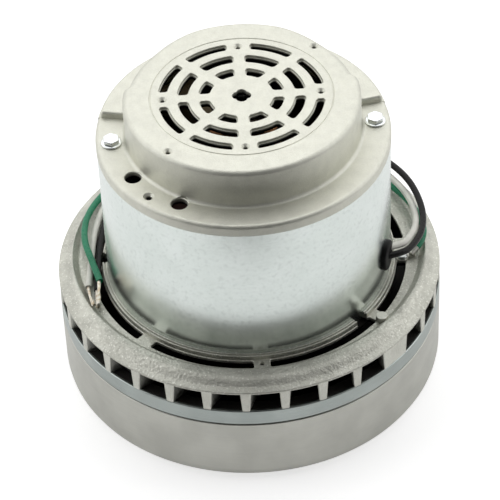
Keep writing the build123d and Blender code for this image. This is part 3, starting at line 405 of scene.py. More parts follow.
strand_routes = {
    "black": [(74.9, 194.5, 60.0), (77.2, 200.3, 60.1), (79.0, 204.6, 60.2)],
    "white": [(78.7, 193.0, 60.7), (80.2, 199.0, 61.3), (80.7, 204.0, 61.7)],
    "green": [(73.3, 192.6, 63.5), (75.6, 200.2, 62.4), (79.1, 205.2, 62.7)],
}
strand_sizes = {
    "Wires": 10, "Bundle Radius": 0.62 * mm, "Wire Radius": 0.24 * mm, "Turns": 0.8, "Spread": 0.25,
    "Finish": strand_finish(),
}
strands = {}
for colour, route in strand_routes.items():
    middle = nurbs_curve(colour + "_strand_path", route)
    strands[colour] = grown(middle, twisted_strands, colour + "_strands", strand_sizes)
    strands[colour].data.shade_smooth()
    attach(strands[colour], "housing")
    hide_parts("stripped_ends")
print("strands", {name: len(piece.data.polygons) for name, piece in strands.items()})

# %% [markdown]
# ## Leads in the CAD model
# A lead isn't a stiff piece: in use it is unrolled and bends. Here each lead's CAD node is only hidden, since the
# curve above takes its place.

for wire, route, length, colour in (
    (black_wire, black_route, 0.316, "black"),
    (white_wire, white_route, 0.309, "white"),
    (green_wire, green_route, 0.289, "green"),
):
    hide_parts(colour + "_lead")

# %% [markdown]
# ## Turned and cast forms
# Most pieces here are turned, spun or cast round one axis. A Screw modifier would turn one outline, but it can't let
# the outline change on the way round. So a ring is made from one closed outline for each azimuth, joined to the next.
# A step in a flange or a channel that isn't centred then needs no boolean and keeps even quads. Corners are rounded
# in the outline itself.

# %% Rounded outlines
def rounded(corners, steps=5):
    """A closed outline with arcs at its corners; each corner is (x, y) or (x, y, rounding)."""
    count = len(corners)
    points = []
    for index, corner in enumerate(corners):
        here = Vector(corner[:2])
        if len(corner) < 3:
            points.append(here)
            continue
        to_before = Vector(corners[index - 1][:2]) - here
        to_after = Vector(corners[(index + 1) % count][:2]) - here
        half = to_before.angle(to_after) / 2
        room = 0.45 * min(to_before.length, to_after.length)
        set_back = max(min(corner[2] / math.tan(half), room), 0.002 * mm)
        start = here + to_before.normalized() * set_back
        end = here + to_after.normalized() * set_back
        swing = math.pi - 2 * half
        if swing < 0.02:
            points += [start.lerp(end, step / steps) for step in range(steps + 1)]
            continue
        centre = here + (to_before.normalized() + to_after.normalized()).normalized() * set_back / math.cos(half)
        for step in range(steps + 1):
            share = step / steps
            arm = (start - centre) * math.sin((1 - share) * swing) + (end - centre) * math.sin(share * swing)
            points.append(centre + arm / math.sin(swing))
    return points


print("a square with round corners has", len(rounded([(0, 0, 1), (9, 0, 1), (9, 9, 1), (0, 9, 1)])), "points")

# %% Pieces and rings
def new_piece(name, points, faces):
    """A mesh object with its faces turned outwards."""
    mesh = bpy.data.meshes.new(name)
    mesh.from_pydata([tuple(point) for point in points], [], faces)
    work = bmesh.new()
    work.from_mesh(mesh)
    bmesh.ops.recalc_face_normals(work, faces=work.faces)
    work.to_mesh(mesh)
    work.free()
    return new_object(name, mesh)


def even_turns(count):
    return [index * 360 / count for index in range(count)]


def ring_piece(name, outline_at, azimuths):
    """A closed ring through the outlines at these azimuths."""
    points = []
    for azimuth in azimuths:
        outline = outline_at(azimuth)
        points += [polar(point[0], azimuth, point[1]) for point in outline]
    size = len(outline)
    faces = []
    for turn in range(len(azimuths)):
        here, following = turn * size, (turn + 1) % len(azimuths) * size
        for step in range(size):
            beside = (step + 1) % size
            faces.append((here + step, here + beside, following + beside, following + step))
    return new_piece(name, points, faces)


def turned(name, corners, count=240):
    """A ring with the same rounded outline all round."""
    outline = rounded(corners)
    return ring_piece(name, lambda azimuth: outline, even_turns(count))


print("ring helpers ready, a turn of 240 has steps of", even_turns(240)[1], "degrees")

# %% Skins
def skinned(name, loops):
    """A closed solid through loops of equally many points, with flat ends."""
    size = len(loops[0])
    points = [point for loop in loops for point in loop]
    faces = [tuple(range(size)), tuple(range(len(points) - size, len(points)))]
    for low in range(0, len(points) - size, size):
        for step in range(size):
            beside = (step + 1) % size
            faces.append((low + step, low + beside, low + size + beside, low + size + step))
    return new_piece(name, points, faces)


print("skin helper ready")

# %% [markdown]
# ## Cutting and dressing
# Holes are cut with Boolean modifiers, which stay quick because each cutter is small and closed. A finished piece then
# gets smooth shading with creases, its finish and the body that it rides on, and the CAD node that it stands for is
# hidden. Weighted normals keep the wide flat faces flat next to small roundings. All pieces built here belong to the
# still housing.

# %% Cutting and dressing
crease = math.radians(32)


def cut(piece, cutters):
    """Takes the cutters out of the piece and removes them."""
    for cutter in cutters:
        modifier = piece.modifiers.new("cut", "BOOLEAN")
        modifier.operation = "DIFFERENCE"
        modifier.solver = "MANIFOLD"
        modifier.object = cutter
    mesh = evaluated_mesh(piece)
    piece.modifiers.clear()
    piece.data = mesh
    for cutter in cutters:
        bpy.data.objects.remove(cutter)
    return piece


def dress(piece, finish, node):
    piece.data.materials.clear()
    piece.data.materials.append(finish)
    piece.data.polygons.foreach_set("material_index", [0] * len(piece.data.polygons))
    piece.data.shade_smooth()
    piece.data.set_sharp_from_angle(angle=crease)
    weigh = piece.modifiers.new("weighted normals", "WEIGHTED_NORMAL")
    weigh.keep_sharp = True
    weigh.weight = 60
    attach(piece, "housing")
    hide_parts(node)
    print(piece.name, len(piece.data.polygons), "faces")


print("creases from", round(math.degrees(crease)), "degrees")

# %% [markdown]
# ## Cast aluminium
# Die-cast aluminium has fine grain and cloudy patches, and light flecks on its colour are painted glints. Inside vents,
# slots, windows and holes the colour darkens to near black as painted shade. That painted shade is a mask by radius
# and height, so it sits on the object and stays there from any side. The crown's casting is rougher than the motor's
# end, so one function makes both.

# %% Painted shade in the deep places
def shade_mask(finish, pits):
    """Share of painted shade: one deep inside the pits, nought outside; a pit is (radius, fade inwards, height, fade
    downwards).
    """
    tree = finish.node_tree
    place = tree.nodes.new("ShaderNodeTexCoord").outputs["Object"]
    split = add_node(tree, "ShaderNodeSeparateXYZ", {0: place}).outputs
    flat = add_node(tree, "ShaderNodeCombineXYZ", {"X": split["X"], "Y": split["Y"]})
    length = add_node(tree, "ShaderNodeVectorMath", {0: flat.outputs[0]}, operation="LENGTH").outputs["Value"]
    share = 0.0
    for radius, radius_fade, height, height_fade in pits:
        inwards = remap(finish, length, radius, radius - radius_fade)
        downwards = remap(finish, split["Z"], height, height - height_fade)
        share = math_node(tree, "MAXIMUM", math_node(tree, "MULTIPLY", inwards, downwards), share)
    return share


# Places of the painted shade: radius, fade inwards, height and fade downwards of each.
grille_pit = (51 * mm, 1 * mm, dome_top - 0.9 * mm, 1.4 * mm)
flange_pit = (64.6 * mm, 0.6 * mm, shell_top + 4.0 * mm, 1.0 * mm)
vent_pit = (90.8 * mm, 4.0 * mm, crown_top - 4.6 * mm, 0.4 * mm)
slot_pit = (76.5 * mm, 0.8 * mm, crown_top - 4.2 * mm, 1.6 * mm)
vane_pit = (90.6 * mm, 9.0 * mm, crown_top - 4.6 * mm, 0.4 * mm)
print("soot below", round(grille_pit[2], 4), "in the grille and", round(vent_pit[2], 4), "in the vents")

# %% Castings
# Light colour of the painted glints, laid on as flecks.
painted_glint = (0.95, 0.95, 0.89)
# Near-black colour of the painted shade in the deep places.
painted_shade = (0.012, 0.011, 0.010)


def cast_finish(name, colour, shadow, roughness, grain_size, grain_strength, glint_share, pits):
    finish = new_finish(name, colour, 1.0, roughness)
    cells = 1 / grain_size
    grain = noise(finish, cells, 5.0)
    cloud = noise(finish, cells / 9, 4.0, 3.0)
    flecks = noise(finish, cells * 1.3, 2.0, 9.0)
    metal = blend_colour(finish, remap(finish, cloud, 0.35, 0.65), shadow, colour)
    # Painted glints: light flecks lighten the casting's colour.
    metal = blend_colour(finish, remap(finish, flecks, 0.60, 0.68, 0.0, glint_share), metal, painted_glint)
    # Painted shade: the colour darkens to near black inside vents, slots, windows and holes.
    metal = blend_colour(finish, shade_mask(finish, pits), metal, painted_shade)
    set_input(finish, "Base Color", metal)
    set_input(finish, "Roughness", remap(finish, grain, 0.3, 0.7, roughness - 0.1, roughness + 0.12))
    add_bump(finish, grain, grain_strength, grain_size * 0.3)
    return finish


fine_casting = cast_finish(
    "fine casting", (0.80, 0.80, 0.717), (0.75, 0.75, 0.672), 0.56, 0.6 * mm, 0.8, 0.2, [grille_pit, flange_pit])
rough_casting = cast_finish(
    "rough casting", (0.665, 0.665, 0.60), (0.54, 0.54, 0.485), 0.56, 1.2 * mm, 1.0, 0.6, [vent_pit, slot_pit])
vane_casting = cast_finish(
    "vane casting", (0.77, 0.77, 0.705), (0.69, 0.69, 0.627), 0.55, 0.9 * mm, 0.7, 0.2, [vane_pit])
# Near-black casting colour that paints the shade on the inner walls.
shade_black_casting = new_finish("shade black casting", (0.03, 0.028, 0.026), 0.4, 0.6)
print("castings", [finish.name for finish in (fine_casting, rough_casting, vane_casting, shade_black_casting)])

# %% [markdown]
# ## Zinc and drawn steel
# The motor shell is plated with zinc, bluish and glossy with a faint speckle. The fan shell and the band are drawn
# steel, satin from the tool that runs round them. Anisotropy would also give a brushed look, but it needs a tangent
# on each piece. Noise squeezed along Z makes the same fine rings.

# %% Zinc plate
def zinc_finish():
    finish = new_finish("zinc plate", (0.84, 0.90, 0.87), 1.0, 0.25)
    cloud = noise(finish, (90, 90, 60), 5.0)
    rings = noise(finish, (40, 40, 1500), 3.0, 7.0)
    spots = noise(finish, 560, 3.0, 5.0)
    metal = blend_colour(finish, remap(finish, cloud, 0.35, 0.65), (0.82, 0.885, 0.85), (0.865, 0.925, 0.895))
    metal = blend_colour(finish, remap(finish, spots, 0.54, 0.66, 0.0, 0.45), metal, (0.66, 0.72, 0.69))
    set_input(finish, "Base Color", metal)
    set_input(finish, "Roughness", remap(finish, rings, 0.3, 0.7, 0.225, 0.26))
    add_bump(finish, rings, 0.012, 0.02 * mm)
    return finish


zinc_plate = zinc_finish()
bright_zinc = new_finish("bright zinc", (0.92, 0.95, 0.95), 1.0, 0.16)
print("zinc on the shell and bright zinc on the screws")

# %% Drawn steel and band
def drawn_finish(name, colour, roughness):
    finish = new_finish(name, colour, 1.0, roughness)
    rings = noise(finish, (25, 25, 2600), 3.0)
    cloud = remap(finish, noise(finish, 60, 4.0, 2.0), 0.35, 0.65)
    set_input(finish, "Base Color", blend_colour(finish, cloud, shaded(colour, 0.88), colour))
    set_input(finish, "Roughness", remap(finish, rings, 0.3, 0.7, roughness - 0.07, roughness + 0.1))
    add_bump(finish, rings, 0.12, 0.04 * mm)
    return finish


drawn_steel = drawn_finish("drawn steel", (0.61, 0.61, 0.56), 0.38)
band_steel = drawn_finish("band steel", (0.47, 0.515, 0.495), 0.33)
print("drawn steel ready")

# %% [markdown]
# ## Fan shell
# The fan shell is a spun steel cup with a generous corner and a flanged suction opening underneath. A cylinder with
# bevels would still need an inner wall. One closed outline, turned round the axis, gives wall, corner and flange.

# %% Fan shell
sheet = 1.5 * mm
eye_radius = 22.2 * mm
eye_flange = 4.5 * mm
shell_corner = 7.5 * mm
fan_shell = turned("fan_shell_cup", [
    (eye_radius, 0.0, 1.4 * mm),
    (fan_radius, 0.0, shell_corner),
    (fan_radius, joint_level, 0.45 * mm),
    (fan_radius - sheet, joint_level, 0.3 * mm),
    (fan_radius - sheet, sheet, shell_corner - sheet),
    (eye_radius + sheet, sheet, 1.4 * mm),
    (eye_radius + sheet, eye_flange, 0.5 * mm),
    (eye_radius, eye_flange, 0.5 * mm),
])
dress(fan_shell, drawn_steel, "fan_shell")

# %% [markdown]
# ## Clamp band
# A blue-grey band holds fan shell and bracket together. It is a plain ring too. A dark line could be painted between
# shell and band, but the band's lower edge starts a little above the shell's rim, and the gap makes that line itself.

# %% Clamp band
ring_bore = fan_radius - sheet
band_bore = ring_bore + 0.04 * mm
band_radius = fan_radius - 0.05 * mm
band = turned("joint_band", [
    (band_bore, joint_level + 0.3 * mm),
    (band_radius, joint_level + 0.55 * mm, 0.5 * mm),
    (band_radius, band_top, 0.7 * mm),
    (band_bore, band_top, 0.2 * mm),
])
dress(band, band_steel, "clamp_band")

# %% [markdown]
# ## Fan bracket
# This casting carries everything: a ring that fits in the fan shell, the swept vanes, the rounded crown, the channel
# for the leads and the seat of the motor shell. Seen from above the channel's outer wall isn't centred on the shaft,
# so the crown is wide in front and thin behind. A turned crown with a channel cut out of it would leave ragged edges.
# The wall is a rule of the azimuth, and the ring's outline follows it.

# %% Levels and radii of the bracket
vent_top = crown_top - 4.8 * mm
channel_floor = vent_top + 1.5 * mm
rim_top = channel_floor + 2.4 * mm
groove_floor = rim_top - 0.9 * mm
deck_level = 37.0 * mm
casting_wall = 3 * mm
seat_bore = 62.5 * mm
seat_radius = shell_radius + 0.04 * mm
slot_inner = 70.2 * mm
slot_outer = 75.2 * mm
diffuser_radius = 78.4 * mm
diffuser_bore = diffuser_radius - 2.4 * mm
shoulder = (84.8 * mm, crown_top)
brow = (88.3 * mm, vent_top + 2.1 * mm)
lip = (fan_radius - 0.2 * mm, vent_top + 1.1 * mm)
print("vents up to", round(vent_top, 4), "channel floor at", round(channel_floor, 4))

# %% Channel wall
wall_shift = 5.8 * mm
wall_foot = 81.8 * mm
wall_run = 2.9 * mm
wall_rise = crown_top - channel_floor


def crown_surface(radius):
    """Height of the crown's outside at a radius."""
    for (r1, z1), (r2, z2) in ((shoulder, brow), (brow, lip)):
        if radius < r1:
            return z1
        if radius < r2:
            return z1 + (z2 - z1) * (radius - r1) / (r2 - r1)
    return lip[1]


def channel_wall(azimuth):
    """Radius of the channel wall's foot, and radius and height of its top edge."""
    turn = math.radians(azimuth)
    foot = wall_shift * math.sin(turn) + math.sqrt(wall_foot**2 - (wall_shift * math.cos(turn))**2)
    foot = max(foot, slot_outer + 0.6 * mm)
    top = foot
    while channel_floor + (top - foot) * wall_rise / wall_run < crown_surface(top):
        top += 0.02 * mm
    return foot, top, crown_surface(top)


for place, azimuth in (("in front", -90), ("behind", 90)):
    print("channel wall", place, [round(x, 5) for x in channel_wall(azimuth)])

# %% Crown
def crown_outline(azimuth):
    foot, top, top_level = channel_wall(azimuth)
    shoulder_r = max(shoulder[0], top + 0.5 * mm)
    brow_r = max(brow[0], shoulder_r + 0.7 * mm)
    return rounded([
        (seat_bore, shell_foot - casting_wall),
        (seat_bore, shell_foot),
        (seat_radius, shell_foot),
        (seat_radius, rim_top, 0.3 * mm),
        (seat_radius + 0.9 * mm, rim_top, 0.35 * mm),
        (seat_radius + 0.95 * mm, groove_floor, 0.2 * mm),
        (seat_radius + 1.5 * mm, groove_floor, 0.2 * mm),
        (seat_radius + 1.55 * mm, rim_top, 0.3 * mm),
        (slot_inner, rim_top, 0.35 * mm),
        (slot_inner + 0.1 * mm, channel_floor, 0.1 * mm),
        (foot, channel_floor, 1.2 * mm),
        (top, top_level, 1.6 * mm),
        (shoulder_r, crown_surface(shoulder_r), 6.0 * mm),
        (brow_r, crown_surface(brow_r), 4.0 * mm),
        (lip[0], lip[1], 0.5 * mm),
        (lip[0], vent_top, 0.4 * mm),
        (diffuser_radius, vent_top, 0.8 * mm),
        (diffuser_radius, deck_level),
        (diffuser_bore, deck_level),
        (diffuser_bore, channel_floor - casting_wall),
        (slot_inner, channel_floor - casting_wall),
        (shell_radius, shell_foot - casting_wall),
    ])


crown = ring_piece("crown_casting", crown_outline, even_turns(300))
print("crown ring", len(crown.data.polygons), "faces")

# %% [markdown]
# ## Windows with soft edges
# The cooling slots and the grille are windows between spokes of even width. A Bevel modifier after the cut would have
# to find its way round thin faces. Instead a window's cutter is a stack of outlines that opens out near the surface
# along an arc. One boolean then leaves a rounded edge, which catches the light as a cast edge does.

# %% Window outline
def window_outline(inner, outer, first, last, corner, offset):
    """A window between two radii and two spokes; first and last are (azimuth, width) of its spokes."""
    middle = (inner + outer) / 2

    def edges(radius):
        low = first[0] + math.degrees(math.asin(first[1] / 2 / radius))
        high = last[0] - math.degrees(math.asin(last[1] / 2 / radius))
        return low, high

    low, high = edges(middle)
    length = math.radians(high - low) * middle
    half_l = length / 2 + offset
    half_w = (outer - inner) / 2 + offset
    steps = max(int(length / (2 * mm)), 3)
    inside = [-half_l + 2 * half_l * (index + 0.5) / steps for index in range(steps)]
    inside = [x for x in inside if abs(x) < half_l - corner - offset - 0.2 * mm]
    rounding = corner + offset
    corners = [(-half_l, -half_w, rounding), *[(x, -half_w) for x in inside], (half_l, -half_w, rounding)]
    corners += [(half_l, half_w, rounding), *[(x, half_w) for x in reversed(inside)], (-half_l, half_w, rounding)]
    points = []
    for point in rounded(corners):
        radius = middle + point[1]
        low, high = edges(radius)
        points.append((radius, low + (high - low) * (point[0] / length + 0.5)))
    return points


sample_window = window_outline(30 * mm, 34 * mm, (0, 5 * mm), (45, 5 * mm), 1 * mm, 0.0)
print("a window between 30 and 34 mm has", len(sample_window), "points")

# %% Cutters
def edge_levels(surface, rounding, steps=4):
    """Levels of a cutter's soft upper edge: (height, offset)."""
    levels = []
    for step in range(steps + 1):
        turn = math.radians(90 * step / steps)
        levels.append((surface - rounding + rounding * math.sin(turn), rounding * (1 - math.cos(turn))))
    return levels


def window_cutter(name, inner, outer, first, last, corner, levels):
    loops = []
    for height, offset in levels:
        outline = window_outline(inner, outer, first, last, corner, offset)
        loops.append([polar(radius, azimuth, height) for radius, azimuth in outline])
    return skinned(name, loops)


def circle_cutter(name, centre, sections):
    """A round cutter; sections are (height, radius) from the bottom up."""
    return skinned(name, [
        [centre + polar(radius, turn, height) for turn in even_turns(40)] for height, radius in sections])


def notch_cutter(azimuth, near, far, width, bottom, top):
    """A straight notch along a radius."""
    half, soft = width / 2, 0.6 * mm
    outline = rounded([(near, -half, soft), (far, -half, soft), (far, half, soft), (near, half, soft)])
    turn = Matrix.Rotation(math.radians(azimuth), 3, "Z")
    return skinned("notch", [[turn @ Vector((*point, height)) for point in outline] for height in (bottom, top)])


print("cutter helpers ready")

# %% Cut the crown
spoke_azimuths = [-132.3, -86.9, -37.0, 0.5, 43.0, 88.0, 133.0, 180.0]
spoke_widths = [8.3, 7.6, 6.3, 16.5, 7.6, 7.6, 7.6, 7.6]
spokes = [(azimuth, width * mm) for azimuth, width in zip(spoke_azimuths, spoke_widths)]
slot_depth = 4.5 * mm
slot_rounding = 0.45 * mm
notch_near, notch_far, notch_width = 66.9 * mm, 72.6 * mm, 7.0 * mm
slot_levels = [
    (channel_floor - slot_depth, 0.0), *edge_levels(channel_floor, slot_rounding),
    (channel_floor + 0.05 * mm, slot_rounding)]
crown_cutters = []
for spoke, following in zip(spokes, spokes[1:] + [(spokes[0][0] + 360, spokes[0][1])]):
    crown_cutters.append(
        window_cutter("slot", slot_inner + 0.5 * mm, slot_outer, spoke, following, 1.0 * mm, slot_levels))
for azimuth in (-43.0, 178.5):
    crown_cutters.append(
        notch_cutter(azimuth, notch_near, notch_far, notch_width, shell_foot + 0.2 * mm, crown_top))
crown_cutters.append(circle_cutter("pit", polar((slot_inner + slot_outer) / 2, spoke_azimuths[1]), [
    (channel_floor - 1.6 * mm, 0.9 * mm), (channel_floor - 0.3 * mm, 1.1 * mm), (channel_floor + 0.5 * mm, 1.6 * mm)]))
cut(crown, crown_cutters)
dress(crown, rough_casting, "fan_bracket")

# %% [markdown]
# ## Ejector pad
# A round pin pushes the casting out of its die and leaves a pad. The photograph shows one beside a slot at the front
# right. It could be part of the crown's mesh, but a short round skin that stands in the floor looks the same.

# %% Ejector pad
ejector_spot = polar(76.9 * mm, -38.0)
ejector_pad = circle_cutter("ejector_pad", ejector_spot, [
    (channel_floor - 0.6 * mm, 2.8 * mm), (crown_top - 0.7 * mm, 2.75 * mm),
    (crown_top - 0.45 * mm, 2.6 * mm), (crown_top - 0.3 * mm, 2.3 * mm)])
dress(ejector_pad, vane_casting, "fan_bracket")

# %% [markdown]
# ## Outlet vanes
# Thirty vanes and one wider block stand between band and crown. Each sweeps backwards as it goes in, is a little
# cambered and grows thicker towards the crown, because the casting needs draft. An Array modifier turned by an empty
# could repeat one, but its count and pitch would sit in two places. A Geometry Nodes tree holds both as inputs.

# %% Repeat tree
def repeat_tree():
    """Count copies round the axis, the first at one azimuth and the rest a pitch apart."""
    tree, given = new_tree("repeat round the axis", [("Count", "Int"), ("First", "Float"), ("Pitch", "Float")])
    line = add_node(tree, "GeometryNodeMeshLine", {"Count": given["Count"], "Offset": (0, 0, 0)})
    index = tree.nodes.new("GeometryNodeInputIndex").outputs["Index"]
    turn = math_node(tree, "ADD", given["First"], math_node(tree, "MULTIPLY", index, given["Pitch"]))
    spin = add_node(tree, "ShaderNodeCombineXYZ", {"Z": math_node(tree, "RADIANS", turn)})
    copies = add_node(tree, "GeometryNodeInstanceOnPoints", {
        "Points": line.outputs["Mesh"], "Instance": given["Geometry"], "Rotation": spin.outputs["Vector"]})
    return close_tree(tree, given, copies.outputs["Instances"])


def repeated(piece, name, count, first, pitch, finish):
    """The piece's copies round the axis as one plain mesh."""
    return grown(piece, round_the_axis, name, {"Count": count, "First": first, "Pitch": pitch, "Finish": finish})


round_the_axis = repeat_tree()

# %% Plan of a vane
vane_count = 30
vent_pitch = 11.37
vent_opening = 9.0
first_vent = -48.5
vane_sweep = 27.0
vane_camber = 1.1 * mm
vane_reach = fan_radius - 0.2 * mm
vane_root = diffuser_radius - 1.0 * mm
vane_length = fan_radius - vane_root
vane_shift = vane_length * math.tan(math.radians(vane_sweep))


def vane_loop(tip, root, height):
    """Plan of a vane at azimuth zero: tip and root are its widths."""
    def side(radius, sign):
        share = (fan_radius - radius) / vane_length
        middle = vane_shift * share - vane_camber * 4 * share * (1 - share)
        width = tip + (root - tip) * share
        return polar(radius, math.degrees(middle / radius) + sign * math.degrees(width / 2 / radius))

    stations = [vane_reach + (vane_root - vane_reach) * index / 8 for index in range(9)]
    points = [side(radius, -1) for radius in stations] + [side(radius, 1) for radius in reversed(stations)]
    corners = [(point.x, point.y) for point in points]
    corners[0] = (*corners[0], 0.5 * mm)
    corners[-1] = (*corners[-1], 0.5 * mm)
    return [Vector((*point, height)) for point in rounded(corners)]


print("vane length", round(vane_length, 4), "shifted by", round(vane_shift, 4))

# %% Thirty vanes
vane_draft = 1.5 * mm
vane_foot = band_top - 0.1 * mm
vane_top = vent_top + 0.3 * mm
solid_turn = vent_pitch - vent_opening
tip_width = math.radians(solid_turn) * fan_radius
root_width = 2.4 * mm
vane = skinned("vane", [
    vane_loop(tip_width, root_width, vane_foot), vane_loop(tip_width + vane_draft, root_width + vane_draft, vane_top)])
first_vane = first_vent - vent_opening - solid_turn / 2
vanes = repeated(vane, "outlet_vanes", vane_count, first_vane, -vent_pitch, vane_casting)
dress(vanes, vane_casting, "fan_bracket")

# %% Block between the first and the last vane
block_end = first_vent + 360 - (vane_count + 1) * vent_pitch + solid_turn
block_tip = math.radians(block_end - first_vent) * fan_radius
block_root = block_tip * 0.86
block = skinned("block", [
    vane_loop(block_tip, block_root, vane_foot), vane_loop(block_tip + vane_draft, block_root + vane_draft, vane_top)])
block = repeated(block, "vane_block", 1, (first_vent + block_end) / 2, 0.0, vane_casting)
dress(block, vane_casting, "fan_bracket")

# %% [markdown]
# ## The bracket's inner walls
# Through the vents and slots one sees into the casting: the ring inside the fan shell, the deck between fan and motor
# and the bearing hub. The CAD mesh could stay for them, but it stands for the whole casting. They are plain turned
# walls in a near-black finish that paints the shade inside the casting, and few faces are enough.

# %% Base ring
base_ring_inner = ring_bore - 6.0 * mm
base_ring_outer = ring_bore - 0.02 * mm
base_ring_foot = joint_level - 5.8 * mm
base_ring_top = band_top - 0.2 * mm
base_ring = turned("base_ring", [
    (base_ring_inner, base_ring_foot, 0.5 * mm),
    (base_ring_outer, base_ring_foot, 0.5 * mm),
    (base_ring_outer, base_ring_top, 0.2 * mm),
    (base_ring_inner, base_ring_top, 1.2 * mm),
], 180)
dress(base_ring, shade_black_casting, "fan_bracket")

# %% Deck and hub
deck_edge = diffuser_radius - 2.2 * mm
deck_top = deck_level + 2.6 * mm
hub_seat = deck_level + 8.5 * mm
hub_top = deck_level + 10.0 * mm
retainer_seat = deck_level - 0.5 * mm
bearing_bore = 15.04 * mm
retainer_radius = 18.54 * mm
hub_hole_radius = 12.5 * mm
deck = turned("deck_and_hub", [
    (bearing_bore, retainer_seat),
    (retainer_radius, retainer_seat, 0.3 * mm),
    (retainer_radius, deck_level, 0.3 * mm),
    (deck_edge, deck_level),
    (deck_edge, deck_top),
    (22.0 * mm, deck_top, 1.5 * mm),
    (18.5 * mm, hub_seat, 0.6 * mm),
    (17.0 * mm, hub_top, 0.6 * mm),
    (hub_hole_radius, hub_top, 0.3 * mm),
    (hub_hole_radius, hub_seat),
    (bearing_bore, hub_seat),
], 120)
dress(deck, shade_black_casting, "fan_bracket")

# %% [markdown]
# ## Motor shell
# A plain plated tube. It is thin, glossy and bluish, and near its foot it mirrors the crown. Only the oval opening for
# the leads interrupts it. A flat cutter would give the oval's sides an uneven wall, so the oval is wrapped on the
# shell's cylinder first.

# %% Oval of the lead opening
lead_opening = -20.0
opening_height = 76.6 * mm
opening_width = 9.8 * mm
opening_length = 12.6 * mm


def stadium(width, length, count=12):
    """An upright oval of two half circles and two straight sides, as (across, up)."""
    radius = width / 2
    rise = (length - width) / 2
    points = []
    for start, lift in ((0, rise), (180, -rise)):
        for index in range(count + 1):
            turn = math.radians(start + 180 * index / count)
            points.append((radius * math.cos(turn), lift + radius * math.sin(turn)))
    return points


def wrapped(width, length, radius):
    """An oval round the lead opening's middle, laid on a cylinder of that radius."""
    return [
        polar(radius, lead_opening + math.degrees(across / shell_radius), opening_height + up)
        for across, up in stadium(width, length)]


print("lead opening at", lead_opening, "degrees and", round(opening_height, 4))

# %% Motor tube
shell_wall = 1.2 * mm
shell_bore = shell_radius - shell_wall
tube = turned("motor_tube", [
    (shell_bore, shell_foot),
    (shell_radius, shell_foot, 0.2 * mm),
    (shell_radius, shell_top, 0.1 * mm),
    (shell_bore, shell_top),
], 256)
opening = skinned("opening", [
    wrapped(opening_width, opening_length, shell_radius + lift) for lift in (-4 * mm, 4 * mm)])
cut(tube, [opening])
dress(tube, zinc_plate, "motor_shell")

# %% [markdown]
# ## End bracket
# The cast cap of the motor has a rim over the shell, a flange whose rear half stands a step higher, and a domed cup
# with the cooling grille. Two solids could be joined at the step, but the step is again a rule of the azimuth, and
# the ring's outline takes it. The flange meets the dome in a concave fillet, which shows as a bright line in front.
# Just behind the steps the dome's wall leans in.

# %% Step and lean
flange_top = shell_top + 5.6 * mm
dome_radius = 54.4 * mm
bracket_wall = 3.2 * mm
rim_radius = shell_radius + 0.2 * mm
raised_start = 13.0
raised_end = 169.3
raised_rise = 3.4 * mm
step_rounding = 1.3 * mm
wall_lean = 2.2 * mm


def behind_step(azimuth):
    """Degrees from the nearer step, positive on the raised side."""
    return min(azimuth - raised_start, raised_end - azimuth)


def raised_share(azimuth):
    """How far the flange is raised: nought in front, one behind, with a rounded upper edge at each step."""
    run = math.radians(behind_step(azimuth)) * rim_radius
    if run <= 0:
        return 0.0
    if run >= step_rounding:
        return 1.0
    return 1 - (step_rounding / raised_rise) * (1 - math.sqrt(1 - (1 - run / step_rounding)**2))


def smooth(share):
    share = min(max(share, 0.0), 1.0)
    return share * share * (3 - 2 * share)


def lean_share(azimuth):
    """The lean sets in at a step and fades out well behind it."""
    return smooth(behind_step(azimuth) / 6 + 0.5) * smooth((60 - behind_step(azimuth)) / 35)


print("lean at 5, 20, 40 and 90 degrees", [round(lean_share(azimuth), 2) for azimuth in (5, 20, 40, 90)])

# %% End bracket outline
groove_radius = 41.9 * mm
groove_width = 0.35 * mm
groove_bottom = dome_top - 0.35 * mm
skirt_foot = shell_top - 4 * mm
skirt_radius = shell_bore - 0.04 * mm
ceiling = dome_top - bracket_wall
flange_ceiling = flange_top - bracket_wall
inner_dome = dome_radius - bracket_wall
inner_rim = rim_radius - 4.6 * mm


def bracket_outline(azimuth):
    share = raised_share(azimuth)
    lean = lean_share(azimuth)
    top = flange_top + raised_rise * share
    step_r = (64.0 + 3.0 * share) * mm
    return rounded([
        (inner_rim, skirt_foot),
        (skirt_radius, skirt_foot, 0.3 * mm),
        (skirt_radius, shell_top),
        (rim_radius, shell_top, 0.25 * mm),
        (rim_radius, flange_top, (1.9 - 1.3 * share) * mm),
        (step_r, flange_top, 0.4 * mm),
        (step_r - 0.05 * mm, top, 1.5 * mm),
        (dome_radius, top, (1.9 + 2.6 * share) * mm),
        (dome_radius - wall_lean * lean, dome_top, (2.3 + 1.2 * lean) * mm),
        (groove_radius + groove_width, dome_top, 0.1 * mm),
        (groove_radius + 0.2 * mm, groove_bottom, 0.1 * mm),
        (groove_radius - 0.2 * mm, groove_bottom, 0.1 * mm),
        (groove_radius - groove_width, dome_top, 0.1 * mm),
        (0.6 * mm, dome_top),
        (0.6 * mm, ceiling),
        (inner_dome, ceiling, 2.0 * mm),
        (inner_dome, flange_ceiling, 1.0 * mm),
        (inner_rim, flange_ceiling, 0.5 * mm),
    ])


print("end bracket outline", len(bracket_outline(-90)), "points")

# %% End bracket ring
bracket_azimuths = even_turns(240)
for edge, sign in ((raised_start, 1), (raised_end, -1)):
    bracket_azimuths = [azimuth for azimuth in bracket_azimuths if abs(azimuth - edge - sign * 0.5) > 1.1]
    bracket_azimuths += [edge + sign * step for step in (-0.01, 0.01, 0.07, 0.17, 0.32, 0.5, 0.75, 1.11)]
end_bracket = ring_piece("end_casting", bracket_outline, sorted(bracket_azimuths))
print("end bracket ring", len(end_bracket.data.polygons), "faces")

# %% [markdown]
# ## Grille windows
# Three rings of arc windows lie between eight spokes. In the outer ring every other spoke is wide, to carry the
# dimples, so two mirrored windows repeat four times, and the inner rings repeat one window eight times. The repeat
# tree makes each ring one cutter. Each window has a narrow ledge a little way down, where the two halves of the die
# met.

